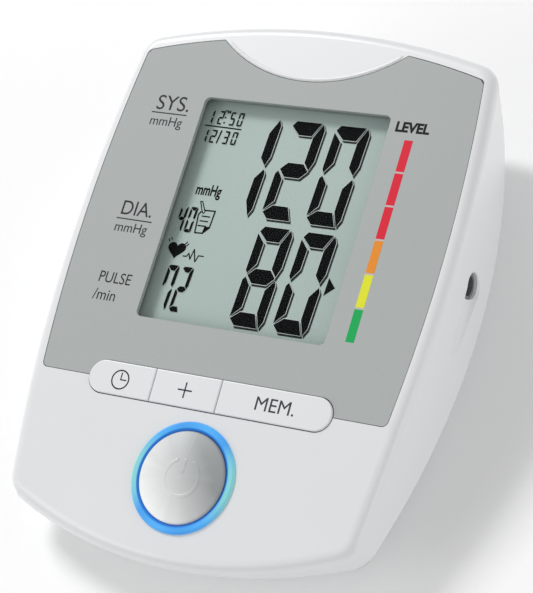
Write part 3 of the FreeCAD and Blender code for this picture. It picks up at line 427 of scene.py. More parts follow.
@dataclass(frozen=True)
class PrintedInk(Finish):
    """Screen printed ink, slightly uneven in density."""

    colour: Colour
    roughness: float = 0.50
    shine: float = 0.15
    grain: float = 3500.0

    def surface(self, graph: Graph) -> Sock:
        """Grained ink.

        Args:
            graph: the material's nodes.

        Returns:
            The shader.
        """
        grain = graph.noise(self.grain, detail=3.0, rough=0.6)
        colour = graph.mix(grain.ramp(0.35, 0.7), self.colour, shaded(self.colour, 1.10, 0.001))
        return graph.principled(
            Base_Color=colour, Roughness=grain.around(self.roughness, 0.08),
            Specular_IOR_Level=self.shine, Normal=graph.bump(grain, 0.05, 0.01))


class Polar(NamedTuple):
    """Where a point of a surface lies on a tilted round piece."""

    across: Sock
    along: Sock
    radius: Sock
    turn: Sock


@dataclass(frozen=True)
class RoundFinish(Finish):
    """A finish that runs round the middle of a tilted piece."""

    centre: tuple[float, float, float]
    tilt: float

    def polar(self, graph: Graph) -> Polar:
        """Work out where a point lies on the piece.

        Args:
            graph: the material's nodes.

        Returns:
            Distances across and along the face, distance from the middle, and angle.
        """
        place = graph.node("ShaderNodeVectorMath", {"operation": "SUBTRACT"}, {
            0: graph.where(), 1: self.centre})
        level = graph.node("ShaderNodeMapping", {"vector_type": "POINT"}, {
            "Vector": place, "Rotation": (-self.tilt, 0.0, 0.0)})
        across, along = level.part("X"), level.part("Y")
        radius = (across * across + along * along) ** 0.5
        return Polar(across, along, radius, along.angle_from(across))


@dataclass(frozen=True)
class BrushedLacquer(RoundFinish):
    """Silver lacquer over a finely spun dome, with a reflection painted into its colour that
    fades from bright to dark across it.
    """

    # colours of the painted reflection at its brightest and its darkest
    bright: Colour = (0.95, 0.96, 0.96)
    dark: Colour = (0.33, 0.35, 0.35)
    outer: float = 11.6 * MM
    fade_across: float = -0.80
    fade_along: float = -0.60
    painted_reflection_fade: float = 0.62
    middle: float = 0.40
    rings: float = 9000.0
    fans: float = 2.6
    painted_glint_strength: float = 0.26

    def surface(self, graph: Graph) -> Sock:
        """Spun rings under a painted reflection that fades across the dome, with painted glints
        in a fan.

        Args:
            graph: the material's nodes.

        Returns:
            The shader.
        """
        across, along, radius, turn = self.polar(graph)
        rings = graph.noise_along(radius, self.rings, detail=3.0, rough=0.6)
        fan = graph.noise_along(turn, self.fans, detail=2.0, rough=0.5)
        # painted reflection: the base colour runs from bright at the lower left to dark at the
        # upper right, with painted glints fanning round the middle
        painted_reflection_slope = (across * self.fade_across + along * self.fade_along) / self.outer
        painted_glint = (fan - 0.5) * self.painted_glint_strength * (radius / self.outer)
        light = (painted_reflection_slope * self.painted_reflection_fade + self.middle + painted_glint).clamped()
        return graph.principled(
            Base_Color=graph.mix(light, self.dark, self.bright), Metallic=0.20,
            Roughness=0.46 + rings * 0.10, Normal=graph.bump(rings, 0.08, 0.02),
            Coat_Weight=0.12, Coat_Roughness=0.30)


@dataclass(frozen=True)
class LitRing(RoundFinish):
    """Light guide lit from below, blue with paler, greener stretches at its sides."""

    lamps: int = 6
    glow: float = 0.45
    inner: float = 11.95 * MM
    inner_edge: float = 0.35 * MM
    blue: Colour = (0.055, 0.270, 0.640)
    sky: Colour = (0.070, 0.330, 0.700)
    teal: Colour = (0.180, 0.480, 0.510)
    deep: Colour = (0.020, 0.150, 0.500)

    def surface(self, graph: Graph) -> Sock:
        """Light that rises over each lamp and turns greener at the sides.

        Args:
            graph: the material's nodes.

        Returns:
            The shader.
        """
        _, _, radius, turn = self.polar(graph)
        lamps = (turn * float(self.lamps)).sine() * 0.5 + 0.5
        sides = (turn * 2.0).cosine() * 0.5 + 0.5
        grain = graph.noise(700.0, detail=3.0, rough=0.6)
        lit = graph.mix((lamps * 0.8 + grain * 0.2).ramp(0.1, 0.9), self.blue, self.sky)
        body = graph.mix(sides.ramp(0.45, 0.95), lit, self.teal)
        edge = radius.ramp(self.inner, self.inner + self.inner_edge)
        colour = graph.mix(edge, self.deep, body)
        return graph.principled(
            Base_Color=colour, Roughness=0.30 + grain * 0.08, Emission_Color=colour,
            Emission_Strength=self.glow, Specular_IOR_Level=0.2)


@dataclass(frozen=True)
class DisplayGlass(Finish):
    """Grey-green reflective display behind its polariser."""

    colour: Colour

    def surface(self, graph: Graph) -> Sock:
        """Fine grain over a slow cloud.

        Args:
            graph: the material's nodes.

        Returns:
            The shader.
        """
        grain = graph.noise(4200.0, rough=0.6)
        colour = graph.mix((grain * 0.5 + graph.noise(22.0) * 0.5).ramp(0.3, 0.7),
                           shaded(self.colour, 0.95), shaded(self.colour, 1.06))
        return graph.principled(Base_Color=colour, Roughness=0.42 + grain * 0.08, IOR=1.45,
                                Normal=graph.bump(grain, 0.04, 0.01))


@dataclass(frozen=True)
class ClearWindow(Finish):
    """Thin clear acrylic: light passes straight through, with a faint gloss."""

    gloss: float = 0.004
    tint: Colour = (0.985, 0.990, 0.988)

    def surface(self, graph: Graph) -> Sock:
        """A clear sheet with a little smeared gloss.

        Args:
            graph: the material's nodes.

        Returns:
            The shader.
        """
        smear = graph.noise(120.0, detail=4.0, rough=0.6)
        clear = graph.node("ShaderNodeBsdfTransparent", {}, {"Color": opaque(self.tint)})
        shine = graph.principled(Base_Color=(0.9, 0.9, 0.9), Metallic=1.0,
                                 Roughness=0.06 + smear * 0.10)
        return graph.node("ShaderNodeMixShader", {}, {0: self.gloss, 1: clear, 2: shine})


@dataclass(frozen=True)
class FaintShadow(Finish):
    """The soft shade that display segments throw on the reflector behind them."""

    strength: float = 0.06

    def surface(self, graph: Graph) -> Sock:
        """A thin dark veil.

        Args:
            graph: the material's nodes.

        Returns:
            The shader.
        """
        grain = graph.noise(3000.0)
        colour = graph.mix(grain, (0.12, 0.15, 0.14), (0.15, 0.18, 0.17))
        return graph.principled(Base_Color=colour, Roughness=0.6 + grain * 0.05,
                                Alpha=self.strength)


@dataclass(frozen=True)
class Metal(Finish):
    """Plated or bare metal with fine draw lines."""

    colour: Colour
    roughness: float = 0.32
    stretch: tuple[float, float, float] = (1.0, 40.0, 1.0)

    def surface(self, graph: Graph) -> Sock:
        """Draw lines and stains.

        Args:
            graph: the material's nodes.

        Returns:
            The shader.
        """
        lines = graph.noise(120.0, detail=4.0, rough=0.65, stretch=self.stretch)
        stain = graph.noise(160.0, detail=3.0, rough=0.6)
        colour = graph.mix((lines * 0.5 + stain * 0.5).ramp(0.3, 0.7),
                           shaded(self.colour, 0.82), self.colour)
        return graph.principled(
            Base_Color=colour, Metallic=1.0, Roughness=self.roughness + lines * 0.12,
            Normal=graph.bump(lines, 0.08, 0.02))


@dataclass(frozen=True)
class Rubber(Finish):
    """Matt moulded rubber or soft tube."""

    colour: Colour
    roughness: float = 0.70

    def surface(self, graph: Graph) -> Sock:
        """Grained rubber with some dust.

        Args:
            graph: the material's nodes.

        Returns:
            The shader.
        """
        grain = graph.noise(1500.0, detail=4.0, rough=0.65)
        dust = graph.noise(60.0, detail=4.0, rough=0.6)
        colour = graph.mix(dust.ramp(0.45, 0.75), self.colour, shaded(self.colour, 0.8, 0.05))
        return graph.principled(
            Base_Color=colour, Roughness=grain.around(self.roughness, 0.15),
            Normal=graph.bump(grain, 0.25, 0.05))


@dataclass(frozen=True)
class SolderMask(Finish):
    """Green circuit board with copper showing faintly through the mask."""

    over_tracks: Colour = (0.012, 0.090, 0.040)
    between: Colour = (0.030, 0.150, 0.060)

    def surface(self, graph: Graph) -> Sock:
        """Raised tracks under a glossy mask.

        Args:
            graph: the material's nodes.

        Returns:
            The shader.
        """
        white, black = opaque((1.0, 1.0, 1.0)), opaque((0.0, 0.0, 0.0))
        tracks = graph.node("ShaderNodeTexBrick", {"offset": 0.5}, {
            "Vector": graph.where(), "Color1": white, "Color2": white, "Mortar": black,
            "Scale": 260.0, "Mortar Size": 0.03})
        weave = graph.noise(1800.0)
        tone = graph.node("ShaderNodeRGBToBW", {}, {0: tracks})
        colour = graph.mix(tone * 0.7 + weave * 0.3, self.between, self.over_tracks)
        return graph.principled(
            Base_Color=colour, Roughness=0.34 + weave * 0.08,
            Normal=graph.bump(tone, 0.2, 0.03), Coat_Weight=0.3, Coat_Roughness=0.2)


@dataclass(frozen=True)
class BatteryJacket(Finish):
    """Printed battery sleeve: a dark jacket, a pale band and a bright end."""

    low_y: float
    high_y: float
    zinc: Colour = (0.60, 0.60, 0.58)
    jacket: Colour = (0.05, 0.16, 0.36)
    band: Colour = (0.55, 0.57, 0.60)
    cap: Colour = (0.62, 0.62, 0.60)
    scuffed: Colour = (0.30, 0.32, 0.34)
    scuffs: float = 300.0

    def surface(self, graph: Graph) -> Sock:
        """Scuffed bands along Y.

        Args:
            graph: the material's nodes.

        Returns:
            The shader.
        """
        along = graph.where().part("Y").ramp(self.low_y, self.high_y)
        bands = graph.node("ShaderNodeValToRGB", {"stops": (
            (0.00, self.zinc), (0.035, self.zinc), (0.04, self.jacket), (0.62, self.jacket),
            (0.63, self.band), (0.95, self.band), (0.97, self.cap))}, {0: along})
        scuff = graph.noise(self.scuffs, detail=4.0, rough=0.6)
        return graph.principled(
            Base_Color=graph.mix(scuff.ramp(0.55, 0.9), bands, self.scuffed), Metallic=0.35,
            Roughness=0.28 + scuff * 0.15)


@dataclass(frozen=True)
class FloorPaper(Finish):
    """Plain pale studio paper."""

    deep: Colour = (0.985, 0.985, 0.985)
    pale: Colour = (0.995, 0.995, 0.995)

    def surface(self, graph: Graph) -> Sock:
        """Matt paper with a trace of grain."""
        grain = graph.noise(300.0, detail=3.0)
        return graph.principled(Base_Color=graph.mix(grain, self.deep, self.pale),
                                Roughness=0.9)


# ------------------------------------------------------------------ mesh helpers
RIDGE_FLATS = 8     # flats round a ridge's half circle
RIDGE_SUNK = 0.03   # how far a ridge is sunk into its face, in millimetres
RIDGE_END = 0.35    # size of a ridge's ends against its middle
MITRE = 1.1         # how much further a corner moves than its sides
JOINT_SIDES = 10    # sides of the discs that round off a line
CORNER_STEPS = 6    # runs in a rounded corner
LETTER_STEPS = 8    # runs in each curved part of a letter

Rings = Sequence[Sequence[bmesh.types.BMVert]]


def new_piece(name: str, mesh: bpy.types.Mesh, paint: bpy.types.Material,
              body: str = "case") -> bpy.types.Object:
    """Put a mesh in the scene and make it ride on a body.

    Args:
        name: the piece's name.
        mesh: its mesh, in the row frame.
        paint: its finish.
        body: the body it rides on.

    Returns:
        The object.
    """
    piece = bpy.data.objects.new(name, mesh)
    bpy.context.scene.collection.objects.link(piece)
    mesh.materials.append(paint)
    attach(piece, body)
    return piece


def spot(face: Matrix, x: float, y: float, level: float) -> Vector:
    """The scene's point at x, y and level millimetres in a face's frame."""
    return face @ Vector((x * MM, y * MM, level * MM))


def skin(work: bmesh.types.BMesh, rings: Rings) -> None:
    """Join each closed ring of points to the next one with four sided faces.

    Args:
        work: the mesh that gets the faces.
        rings: rings with the same number of points.
    """
    for ring, following in zip(rings, rings[1:]):
        for index in range(len(ring)):
            beside = (index + 1) % len(ring)
            work.faces.new((ring[index], ring[beside], following[beside], following[index]))


def baked(work: bmesh.types.BMesh, name: str) -> bpy.types.Mesh:
    """Write the work into a new mesh.

    Args:
        work: the faces, which are freed.
        name: the mesh's name.

    Returns:
        The mesh.
    """
    mesh = bpy.data.meshes.new(name)
    work.to_mesh(mesh)
    work.free()
    return mesh


def slab(name: str, outlines: Iterable[Outline], face: Matrix, low: float,
         high: float) -> bpy.types.Mesh:
    """Closed flat pieces with the given outlines, between two levels of a face.

    Args:
        name: the mesh's name.
        outlines: rings of points in millimetres, each anticlockwise.
        face: the frame that the points are in.
        low: underside level, in millimetres.
        high: upper level, in millimetres.

    Returns:
        One mesh of all the pieces.
    """
    work = bmesh.new()
    for outline in outlines:
        lower, upper = ([work.verts.new(spot(face, x, y, level)) for x, y in outline]
                        for level in (low, high))
        work.faces.new(upper)
        work.faces.new(list(reversed(lower)))
        skin(work, (lower, upper))
    bmesh.ops.recalc_face_normals(work, faces=work.faces)
    bmesh.ops.triangulate(work, faces=[side for side in work.faces if len(side.verts) > 4])
    return baked(work, name)


def inked(name: str, outlines: Iterable[Outline], face: Matrix, levels: Point,
          paint: bpy.types.Material, body: str = "case") -> bpy.types.Object:
    """Flat ink on a face.

    Args:
        name: the piece's name.
        outlines: rings of points in millimetres.
        face: the face's frame.
        levels: underside and top of the ink, in millimetres.
        paint: its finish.
        body: the body it rides on.

    Returns:
        The object.
    """
    return new_piece(name, slab(name, outlines, face, *levels), paint, body)


def stroke(points: Sequence[Point], width: float) -> list[Outline]:
    """A line of even width along points, as one quadrilateral a run, with round joints.

    Args:
        points: the line's points.
        width: its width.

    Returns:
        Outlines that together cover the line.
    """
    outlines: list[Outline] = []
    half = width / 2
    for (ax, ay), (bx, by) in zip(points, points[1:]):
        length = math.hypot(bx - ax, by - ay)
        nx, ny = -(by - ay) / length * half, (bx - ax) / length * half
        outlines.append([(ax - nx, ay - ny), (bx - nx, by - ny), (bx + nx, by + ny),
                         (ax + nx, ay + ny)])
    return outlines + [disc(x, y, half, JOINT_SIDES) for x, y in points]


def arc_points(x: float, y: float, radius: float, start: float, end: float,
               count: int = 24) -> list[Point]:
    """Points along an arc about x and y, angles in degrees."""
    angles = [math.radians(start + (end - start) * k / count) for k in range(count + 1)]
    return [(x + radius * math.cos(turn), y + radius * math.sin(turn)) for turn in angles]


def disc(x: float, y: float, radius: float, count: int) -> Outline:
    """A round outline about x and y."""
    return arc_points(x, y, radius, 0.0, 360.0, count)[:-1]


def moved(outline: Outline, dx: float, dy: float) -> Outline:
    """The same outline, shifted."""
    return [(x + dx, y + dy) for x, y in outline]


def ridge(name: str, paths: Iterable[Sequence[Point]], face: Matrix,
          level: Callable[[float, float], float], half: float, tall: float) -> bpy.types.Mesh:
    """Low rounded ridges that follow paths on a face.

    Args:
        name: the mesh's name.
        paths: centre lines, in millimetres.
        face: the face's frame.
        level: height of the surface under a point, in millimetres.
        half: half the ridge's width, in millimetres.
        tall: its height, in millimetres.

    Returns:
        One smooth mesh of all the ridges.
    """
    section = arc_points(0.0, 0.0, 1.0, 0.0, 180.0, RIDGE_FLATS)
    work = bmesh.new()
    for path in paths:
        rows = []
        for index, (x, y) in enumerate(path):
            before, after = path[max(index - 1, 0)], path[min(index + 1, len(path) - 1)]
            dx, dy = after[0] - before[0], after[1] - before[1]
            size = math.hypot(dx, dy)
            end = RIDGE_END if index in (0, len(path) - 1) else 1.0
            row = []
            for across, up in section:
                px = x - dy / size * across * half * end
                py = y + dx / size * across * half * end
                high = level(px, py) - RIDGE_SUNK + up * tall * end
                row.append(work.verts.new(spot(face, px, py, high)))
            rows.append(row)
        skin(work, rows)
        work.faces.new(rows[0])
        work.faces.new(list(reversed(rows[-1])))
    bmesh.ops.recalc_face_normals(work, faces=work.faces)
    mesh = baked(work, name)
    mesh.shade_smooth()
    return mesh


def rounded_box(half: float, low: float, high: float, radius: float) -> Outline:
    """A rectangle about the face's middle line with round corners, anticlockwise.

    Args:
        half: half its width.
        low: its lower edge.
        high: its upper edge.
        radius: rounding of its corners.

    Returns:
        The outline.
    """
    left, right, foot, head = -half + radius, half - radius, low + radius, high - radius
    corners = ((right, foot, -90), (right, head, 0), (left, head, 90), (left, foot, 180))
    return [point for x, y, start in corners
            for point in arc_points(x, y, radius, start, start + 90, CORNER_STEPS)]


def collar(name: str, outer: Outline, inner: Outline, face: Matrix,
           levels: Point) -> bpy.types.Mesh:
    """A thin closed wall between two outlines with the same number of points.

    Args:
        name: the mesh's name.
        outer: outer outline, in millimetres.
        inner: inner outline, in millimetres.
        face: the face's frame.
        levels: its lower and upper level, in millimetres.

    Returns:
        The wall's mesh.
    """
    low, high = levels
    work = bmesh.new()
    rows = [[work.verts.new(spot(face, x, y, level)) for x, y in outline]
            for outline, level in ((outer, low), (outer, high), (inner, high), (inner, low))]
    skin(work, rows + rows[:1])
    bmesh.ops.recalc_face_normals(work, faces=work.faces)
    return baked(work, name)


def grown(outline: Outline, margin: float) -> Outline:
    """A convex anticlockwise outline with every side moved outwards.

    Args:
        outline: the outline.
        margin: how far its sides move.

    Returns:
        The larger outline.
    """
    made: Outline = []
    for index, (x, y) in enumerate(outline):
        (px, py), (nx, ny) = outline[index - 1], outline[(index + 1) % len(outline)]
        first = math.hypot(x - px, y - py) or 1.0
        second = math.hypot(nx - x, ny - y) or 1.0
        ox = (y - py) / first + (ny - y) / second
        oy = -(x - px) / first - (nx - x) / second
        reach = margin * MITRE / (math.hypot(ox, oy) or 1.0)
        made.append((x + ox * reach, y + oy * reach))
    return made


def anticlockwise(outline: Outline) -> Outline:
    """The same outline, turned round if it runs clockwise."""
    area = sum(x * ny - nx * y for (x, y), (nx, ny) in zip(outline, outline[1:] + outline[:1]))
    return outline if area > 0 else list(reversed(outline))


@dataclass(frozen=True)
class Words:
    """Printed letters that fill a given space on a face, in millimetres."""

    name: str
    text: str
    left: float
    low: float
    width: float
    height: float
    weight: float = 0.0
    thick: float = 0.02

    def mesh(self, face: Matrix, level: float) -> bpy.types.Mesh:
        """Make the letters.

        Args:
            face: the face that they are printed on.
            level: underside of the ink over the face, in millimetres.

        Returns:
            A mesh in the row frame.
        """
        curve = bpy.data.curves.new(self.name + "_text", "FONT")
        curve.body, curve.size, curve.offset = self.text, 1.0, self.weight
        curve.extrude, curve.resolution_u = 0.5, LETTER_STEPS
        holder = bpy.data.objects.new(self.name + "_text", curve)
        mesh = bpy.data.meshes.new_from_object(holder)
        bpy.data.objects.remove(holder)
        bpy.data.curves.remove(curve)
        mesh.name = self.name
        mesh.materials.clear()
        corners = [vertex.co.copy() for vertex in mesh.vertices]
        left, foot, back = (min(corner[axis] for corner in corners) for axis in range(3))
        wide = self.width / (max(corner.x for corner in corners) - left)
        tall = self.height / (max(corner.y for corner in corners) - foot)
        for vertex, (x, y, z) in zip(mesh.vertices, corners):
            vertex.co = spot(face, self.left + (x - left) * wide, self.low + (y - foot) * tall,
                             level + (z - back) * self.thick)
        return mesh


# ------------------------------------------------------------------ display contents
LIT = {
    "0": "abcdef", "1": "bc", "2": "abged", "3": "abgcd", "4": "fgbc", "5": "afgcd",
    "7": "fabc", "8": "abcdefg",
}
DRAWN_LEVEL = 3.75  # thickness of the level strokes that the corner cuts are drawn for


@dataclass(frozen=True)
class Digits:
    """A row of seven segment digits, in millimetres on the display face."""

    text: str
    left: float
    foot: float
    height: float
    width: float
    pitch: float
    upright: float
    level: float
    lean: float = 0.037

    def rings(self) -> list[Outline]:
        """Draw every lit stroke.

        Returns:
            Their outlines.
        """
        made: list[Outline] = []
        strokes = self.strokes()
        for index, sign in enumerate(self.text):
            start = self.left + index * self.pitch
            for letter in LIT[sign]:
                made.append(anticlockwise([
                    (start + x + self.lean * y, self.foot + y) for x, y in strokes[letter]]))
        return made

    def strokes(self) -> dict[str, Outline]:
        """Draw the strokes of one digit, which has its lower left corner at the origin.

        Returns:
            The seven outlines by letter.
        """
        w, h, v, t = self.width, self.height, self.upright, self.level
        mid, u = h / 2, self.level / DRAWN_LEVEL
        return {
            "a": [(0.25 * u, h - 1.4 * u), (1.2 * u, h), (w - 1.3 * u, h),
                  (w - v - 0.7 * u, h - t), (v + 0.5 * u, h - t)],
            "b": [(w - 0.8 * u, h - 0.2 * u), (w, h - 1.8 * u), (w, mid + 3.0 * u),
                  (w - 0.8 * u, mid + 0.45 * u), (w - v - 0.2 * u, mid + 2.45 * u),
                  (w - v - 0.2 * u, h - t - 0.35 * u)],
            "c": [(w - 0.6 * u, mid - 0.5 * u), (w, mid - 1.7 * u), (w, 2.0 * u),
                  (w - 0.8 * u, 0.1 * u), (w - v - 0.1 * u, t + 0.25 * u),
                  (w - v - 0.1 * u, mid - 3.2 * u)],
            "d": [(0.2 * u, 1.7 * u), (v + 0.1 * u, t - 0.1 * u),
                  (w - v - 0.5 * u, t - 0.1 * u), (w - 1.2 * u, 0), (1.9 * u, 0)],
            "e": [(0.6 * u, mid - 0.35 * u), (v, mid - 2.5 * u), (v, t + 1.1 * u),
                  (0, 2.1 * u), (0, mid - 1.2 * u)],
            "f": [(0, h - 2.0 * u), (v, h - t - 0.65 * u), (v, mid + 3.3 * u),
                  (0.6 * u, mid + 0.5 * u), (0, mid + 1.4 * u)],
            "g": [(0.9 * u, mid + 0.1 * u), (2.6 * u, mid + 2.0 * u),
                  (w - 2.6 * u, mid + 2.0 * u), (w - 0.85 * u, mid + 0.1 * u),
                  (w - 2.6 * u, mid - 1.9 * u), (2.7 * u, mid - 1.9 * u)],
        }


class Pen(NamedTuple):
    """A line of even width through points, in millimetres."""

    width: float
    points: tuple[Point, ...]


@dataclass(frozen=True)
class Display:
    """What the liquid crystal display shows, in millimetres on the display face."""

    glass: float = -3.5
    shade_shift: Point = (0.50, -0.55)
    shade_margins: tuple[float, ...] = (0.0, 0.14, 0.28)
    shade_lift: float = 0.03
    shade_step: float = 0.01
    shade_thick: float = 0.004
    halo: float = 0.16
    halo_lift: float = 0.04
    ink_lift: float = 0.05
    ink_thick: float = 0.008
    letter_lift: float = 0.03
    tall_row: float = 15.0
    digits: tuple[Digits, ...] = (
        Digits("120", -14.95, 47.5, 26.7, 9.5, 12.32, 2.35, 3.75),
        Digits("80", -2.5, 19.1, 26.3, 9.4, 12.1, 2.35, 3.75),
        Digits("1", -25.85, 71.0, 3.75, 1.5, 2.2, 0.46, 0.46),
        Digits("2", -22.95, 71.0, 3.75, 1.5, 2.2, 0.40, 0.46),
        Digits("50", -19.55, 71.0, 3.75, 1.5, 2.3, 0.40, 0.46),
        Digits("1", -25.95, 65.8, 3.6, 1.5, 2.2, 0.46, 0.46),
        Digits("2", -23.55, 65.8, 3.6, 1.6, 2.2, 0.40, 0.46),
        Digits("30", -19.75, 65.8, 3.6, 1.5, 2.4, 0.40, 0.46),
        Digits("40", -25.35, 41.1, 6.9, 2.1, 2.75, 0.58, 0.90),
        Digits("72", -23.8, 20.1, 12.0, 3.2, 4.1, 0.85, 1.45),
    )
    unit: Words = Words("display_unit", "mmHg", -22.55, 50.55, 7.2, 3.9, weight=0.022)
    half_day: Words = Words("display_half_day", "PM", -21.5, 74.2, 1.7, 0.9, weight=0.012)
    colon: tuple[Point, ...] = ((-20.85, 71.6), (-20.85, 73.0))
    colon_radius: float = 0.26
    pointer: tuple[Point, ...] = ((20.55, 29.9), (23.0, 32.2), (20.75, 34.6))
    heart_at: Point = (-22.75, 36.25)
    heart_half: float = 2.55
    folded_corner: tuple[Point, ...] = ((-17.2, 41.3), (-15.4, 43.3), (-17.0, 43.2))
    date_rules: tuple[Pen, ...] = (
        Pen(0.36, ((-26.0, 70.4), (-15.5, 70.2))),
        Pen(0.42, ((-21.2, 65.9), (-20.75, 69.3))),
    )
    pulse: tuple[Pen, ...] = (
        Pen(0.28, ((-25.75, 38.75), (-25.40, 38.20))),
        Pen(0.28, ((-25.15, 39.2), (-24.80, 38.65))),
        Pen(0.28, ((-20.35, 38.55), (-20.70, 38.00))),
        Pen(0.28, ((-19.85, 38.1), (-20.20, 37.55))),
        Pen(0.30, ((-20.4, 34.8), (-19.4, 34.8), (-18.95, 35.7), (-18.2, 34.2),
                   (-17.75, 36.9), (-16.6, 33.7), (-16.05, 35.4), (-14.7, 35.4))),
    )
    page: Pen = Pen(0.36, ((-18.2, 47.5), (-15.35, 47.6), (-15.55, 43.0), (-17.0, 41.4),
                           (-19.2, 41.3), (-19.75, 46.2), (-19.3, 47.0)))
    page_rules: tuple[Pen, ...] = (
        Pen(0.32, ((-18.6, 45.9), (-16.4, 45.9))),
        Pen(0.32, ((-18.8, 44.6), (-16.6, 44.6))),
        Pen(0.32, ((-18.9, 43.3), (-16.7, 43.3))),
    )
    pencil: Pen = Pen(0.26, ((-20.3, 49.7), (-19.75, 49.8), (-18.2, 47.2), (-18.5, 46.6),
                             (-18.9, 46.9), (-20.3, 49.7)))

    def build(self, paints: Paints) -> list[bpy.types.Object]:
        """Make the digits and signs, their pale rim and the shade below them.

        Args:
            paints: finishes by name.

        Returns:
            The pieces.
        """
        ink, shade = paints["segment_black"], paints["digit_shade"]
        outlines = [ring for row in self.digits for ring in row.rings()]
        tall = [ring for row in self.digits if row.height > self.tall_row
                for ring in row.rings()]
        small = [ring for ring in outlines if ring not in tall]
        dx, dy = self.shade_shift
        pieces = [
            self.layer("display_digits", outlines, self.ink_lift, ink),
            self.layer("display_signs", self.signs(), self.ink_lift, ink),
            self.layer("display_rims", [grown(ring, self.halo) for ring in tall],
                       self.halo_lift, paints["segment_rim"])]
        for number, margin in enumerate(self.shade_margins):
            pieces.append(self.layer(
                f"display_shade_{number + 1}",
                [moved(grown(ring, margin), dx, dy) for ring in tall],
                self.shade_lift - self.shade_step * number, shade, self.shade_thick))
        pieces.append(self.layer(
            "display_shade_small", [moved(ring, dx / 2, dy / 2) for ring in small],
            self.shade_lift, shade, self.shade_thick))
        return pieces + [
            new_piece(words.name, words.mesh(DISPLAY, self.glass + self.letter_lift), ink)
            for words in (self.unit, self.half_day)]

    def layer(self, name: str, outlines: Iterable[Outline], lift: float,
              paint: bpy.types.Material, thick: Optional[float] = None) -> bpy.types.Object:
        """One printed layer of outlines.

        Args:
            name: the piece's name.
            outlines: outlines in millimetres.
            lift: top of the layer over the glass, in millimetres.
            paint: its finish.
            thick: the layer's thickness, in millimetres; an ink's where none is given.

        Returns:
            The piece.
        """
        top = self.glass + lift
        return inked(name, outlines, DISPLAY, (top - (thick or self.ink_thick), top), paint)

    def signs(self) -> list[Outline]:
        """Draw the colon, rules, pointer, heart, pulse trace, notepad and pencil.

        Returns:
            Their outlines.
        """
        made = [disc(x, y, self.colon_radius, JOINT_SIDES) for x, y in self.colon]
        made += self.drawn(self.date_rules)
        made += [list(self.pointer), self.heart()]
        made += self.drawn((*self.pulse, self.page))
        made.append(list(self.folded_corner))
        return made + self.drawn((*self.page_rules, self.pencil))

    @staticmethod
    def drawn(pens: Iterable[Pen]) -> list[Outline]:
        """The outlines of some lines."""
        return [outline for pen in pens for outline in stroke(pen.points, pen.width)]

    def heart(self, steps: int = 48) -> Outline:
        """Draw the heart, from the usual curve of sines that is 16 high and 16.5 wide.

        Args:
            steps: number of its points.

        Returns:
            Its outline, anticlockwise.
        """
        (x, y), half = self.heart_at, self.heart_half
        outline: Outline = []
        for step in range(steps):
            turn = 2 * math.pi * step / steps
            px = 16 * math.sin(turn) ** 3
            py = (13 * math.cos(turn) - 5 * math.cos(2 * turn) - 2 * math.cos(3 * turn)
                  - math.cos(4 * turn))
            outline.append((x - px * half / 16, y + py * half / 16.5))
        return anticlockwise(outline)


# ------------------------------------------------------------------ printed face
@dataclass(frozen=True)
class PanelPrint:
    """Legends and the colour scale on the grey panel, in millimetres on its face."""

    level: float = -0.1
    rule_width: float = 0.30
    rule_thick: float = 0.02
    rules: tuple[tuple[Point, Point], ...] = (
        ((-40.4, 71.1), (-30.2, 71.0)), ((-40.4, 41.28), (-30.2, 41.18)))
    scale_left: float = 31.35
    scale_width: float = 2.25
    scale_low: float = 18.5
    scale_step: float = 8.8
    scale_gap: float = 0.5
    scale_thick: float = 0.03
    backing_thick: float = 0.01
    tones: tuple[Tone, ...] = (
        Tone.GREEN, Tone.YELLOW, Tone.ORANGE, Tone.RED, Tone.RED, Tone.RED)
    legends: tuple[Words, ...] = (
        Words("legend_systolic", "SYS.", -39.7, 71.95, 9.6, 4.1),
        Words("legend_systolic_unit", "mmHg", -40.1, 66.75, 9.4, 3.35),
        Words("legend_diastolic", "DIA.", -39.8, 42.35, 8.9, 3.85),
        Words("legend_diastolic_unit", "mmHg", -40.1, 36.95, 9.4, 3.35),
        Words("legend_pulse", "PULSE", -39.8, 23.9, 9.3, 2.95),
        Words("legend_pulse_unit", "/min", -40.0, 19.2, 6.5, 2.95),
    )
    scale_legend: Words = Words("legend_scale", "LEVEL", 28.1, 72.75, 9.0, 2.8, weight=0.042)

    def build(self, paints: Paints) -> list[bpy.types.Object]:
        """Make every legend and the scale.

        Args:
            paints: finishes by name.

        Returns:
            The pieces.
        """
        ink = paints["legend_ink"]
        pieces = [new_piece(words.name, words.mesh(DISPLAY, self.level), ink)
                  for words in self.legends]
        pieces.append(new_piece(self.scale_legend.name,
                                self.scale_legend.mesh(DISPLAY, self.level),
                                paints["bold_ink"]))
        rules = [ring for rule in self.rules for ring in stroke(rule, self.rule_width)]
        head = self.scale_low + len(self.tones) * self.scale_step - self.scale_gap
        pieces += [
            self.flat("legend_rules", rules, self.rule_thick, ink),
            self.flat("scale_backing", [self.bar(self.scale_low, head)], self.backing_thick,
                      paints["scale_backing"])]
        for index, tone in enumerate(self.tones):
            low = self.scale_low + index * self.scale_step
            block = self.bar(low, low + self.scale_step - self.scale_gap)
            pieces.append(self.flat(f"scale_{index + 1}", [block], self.scale_thick,
                                    paints[f"scale_{tone.name.lower()}"]))
        return pieces

    def bar(self, low: float, high: float) -> Outline:
        """One block of the scale."""
        left, right = self.scale_left, self.scale_left + self.scale_width
        return [(left, low), (right, low), (right, high), (left, high)]

    def flat(self, name: str, outlines: Iterable[Outline], thick: float,
             paint: bpy.types.Material) -> bpy.types.Object:
        """Ink of the given thickness on the panel."""
        return inked(name, outlines, DISPLAY, (self.level, self.level + thick), paint)


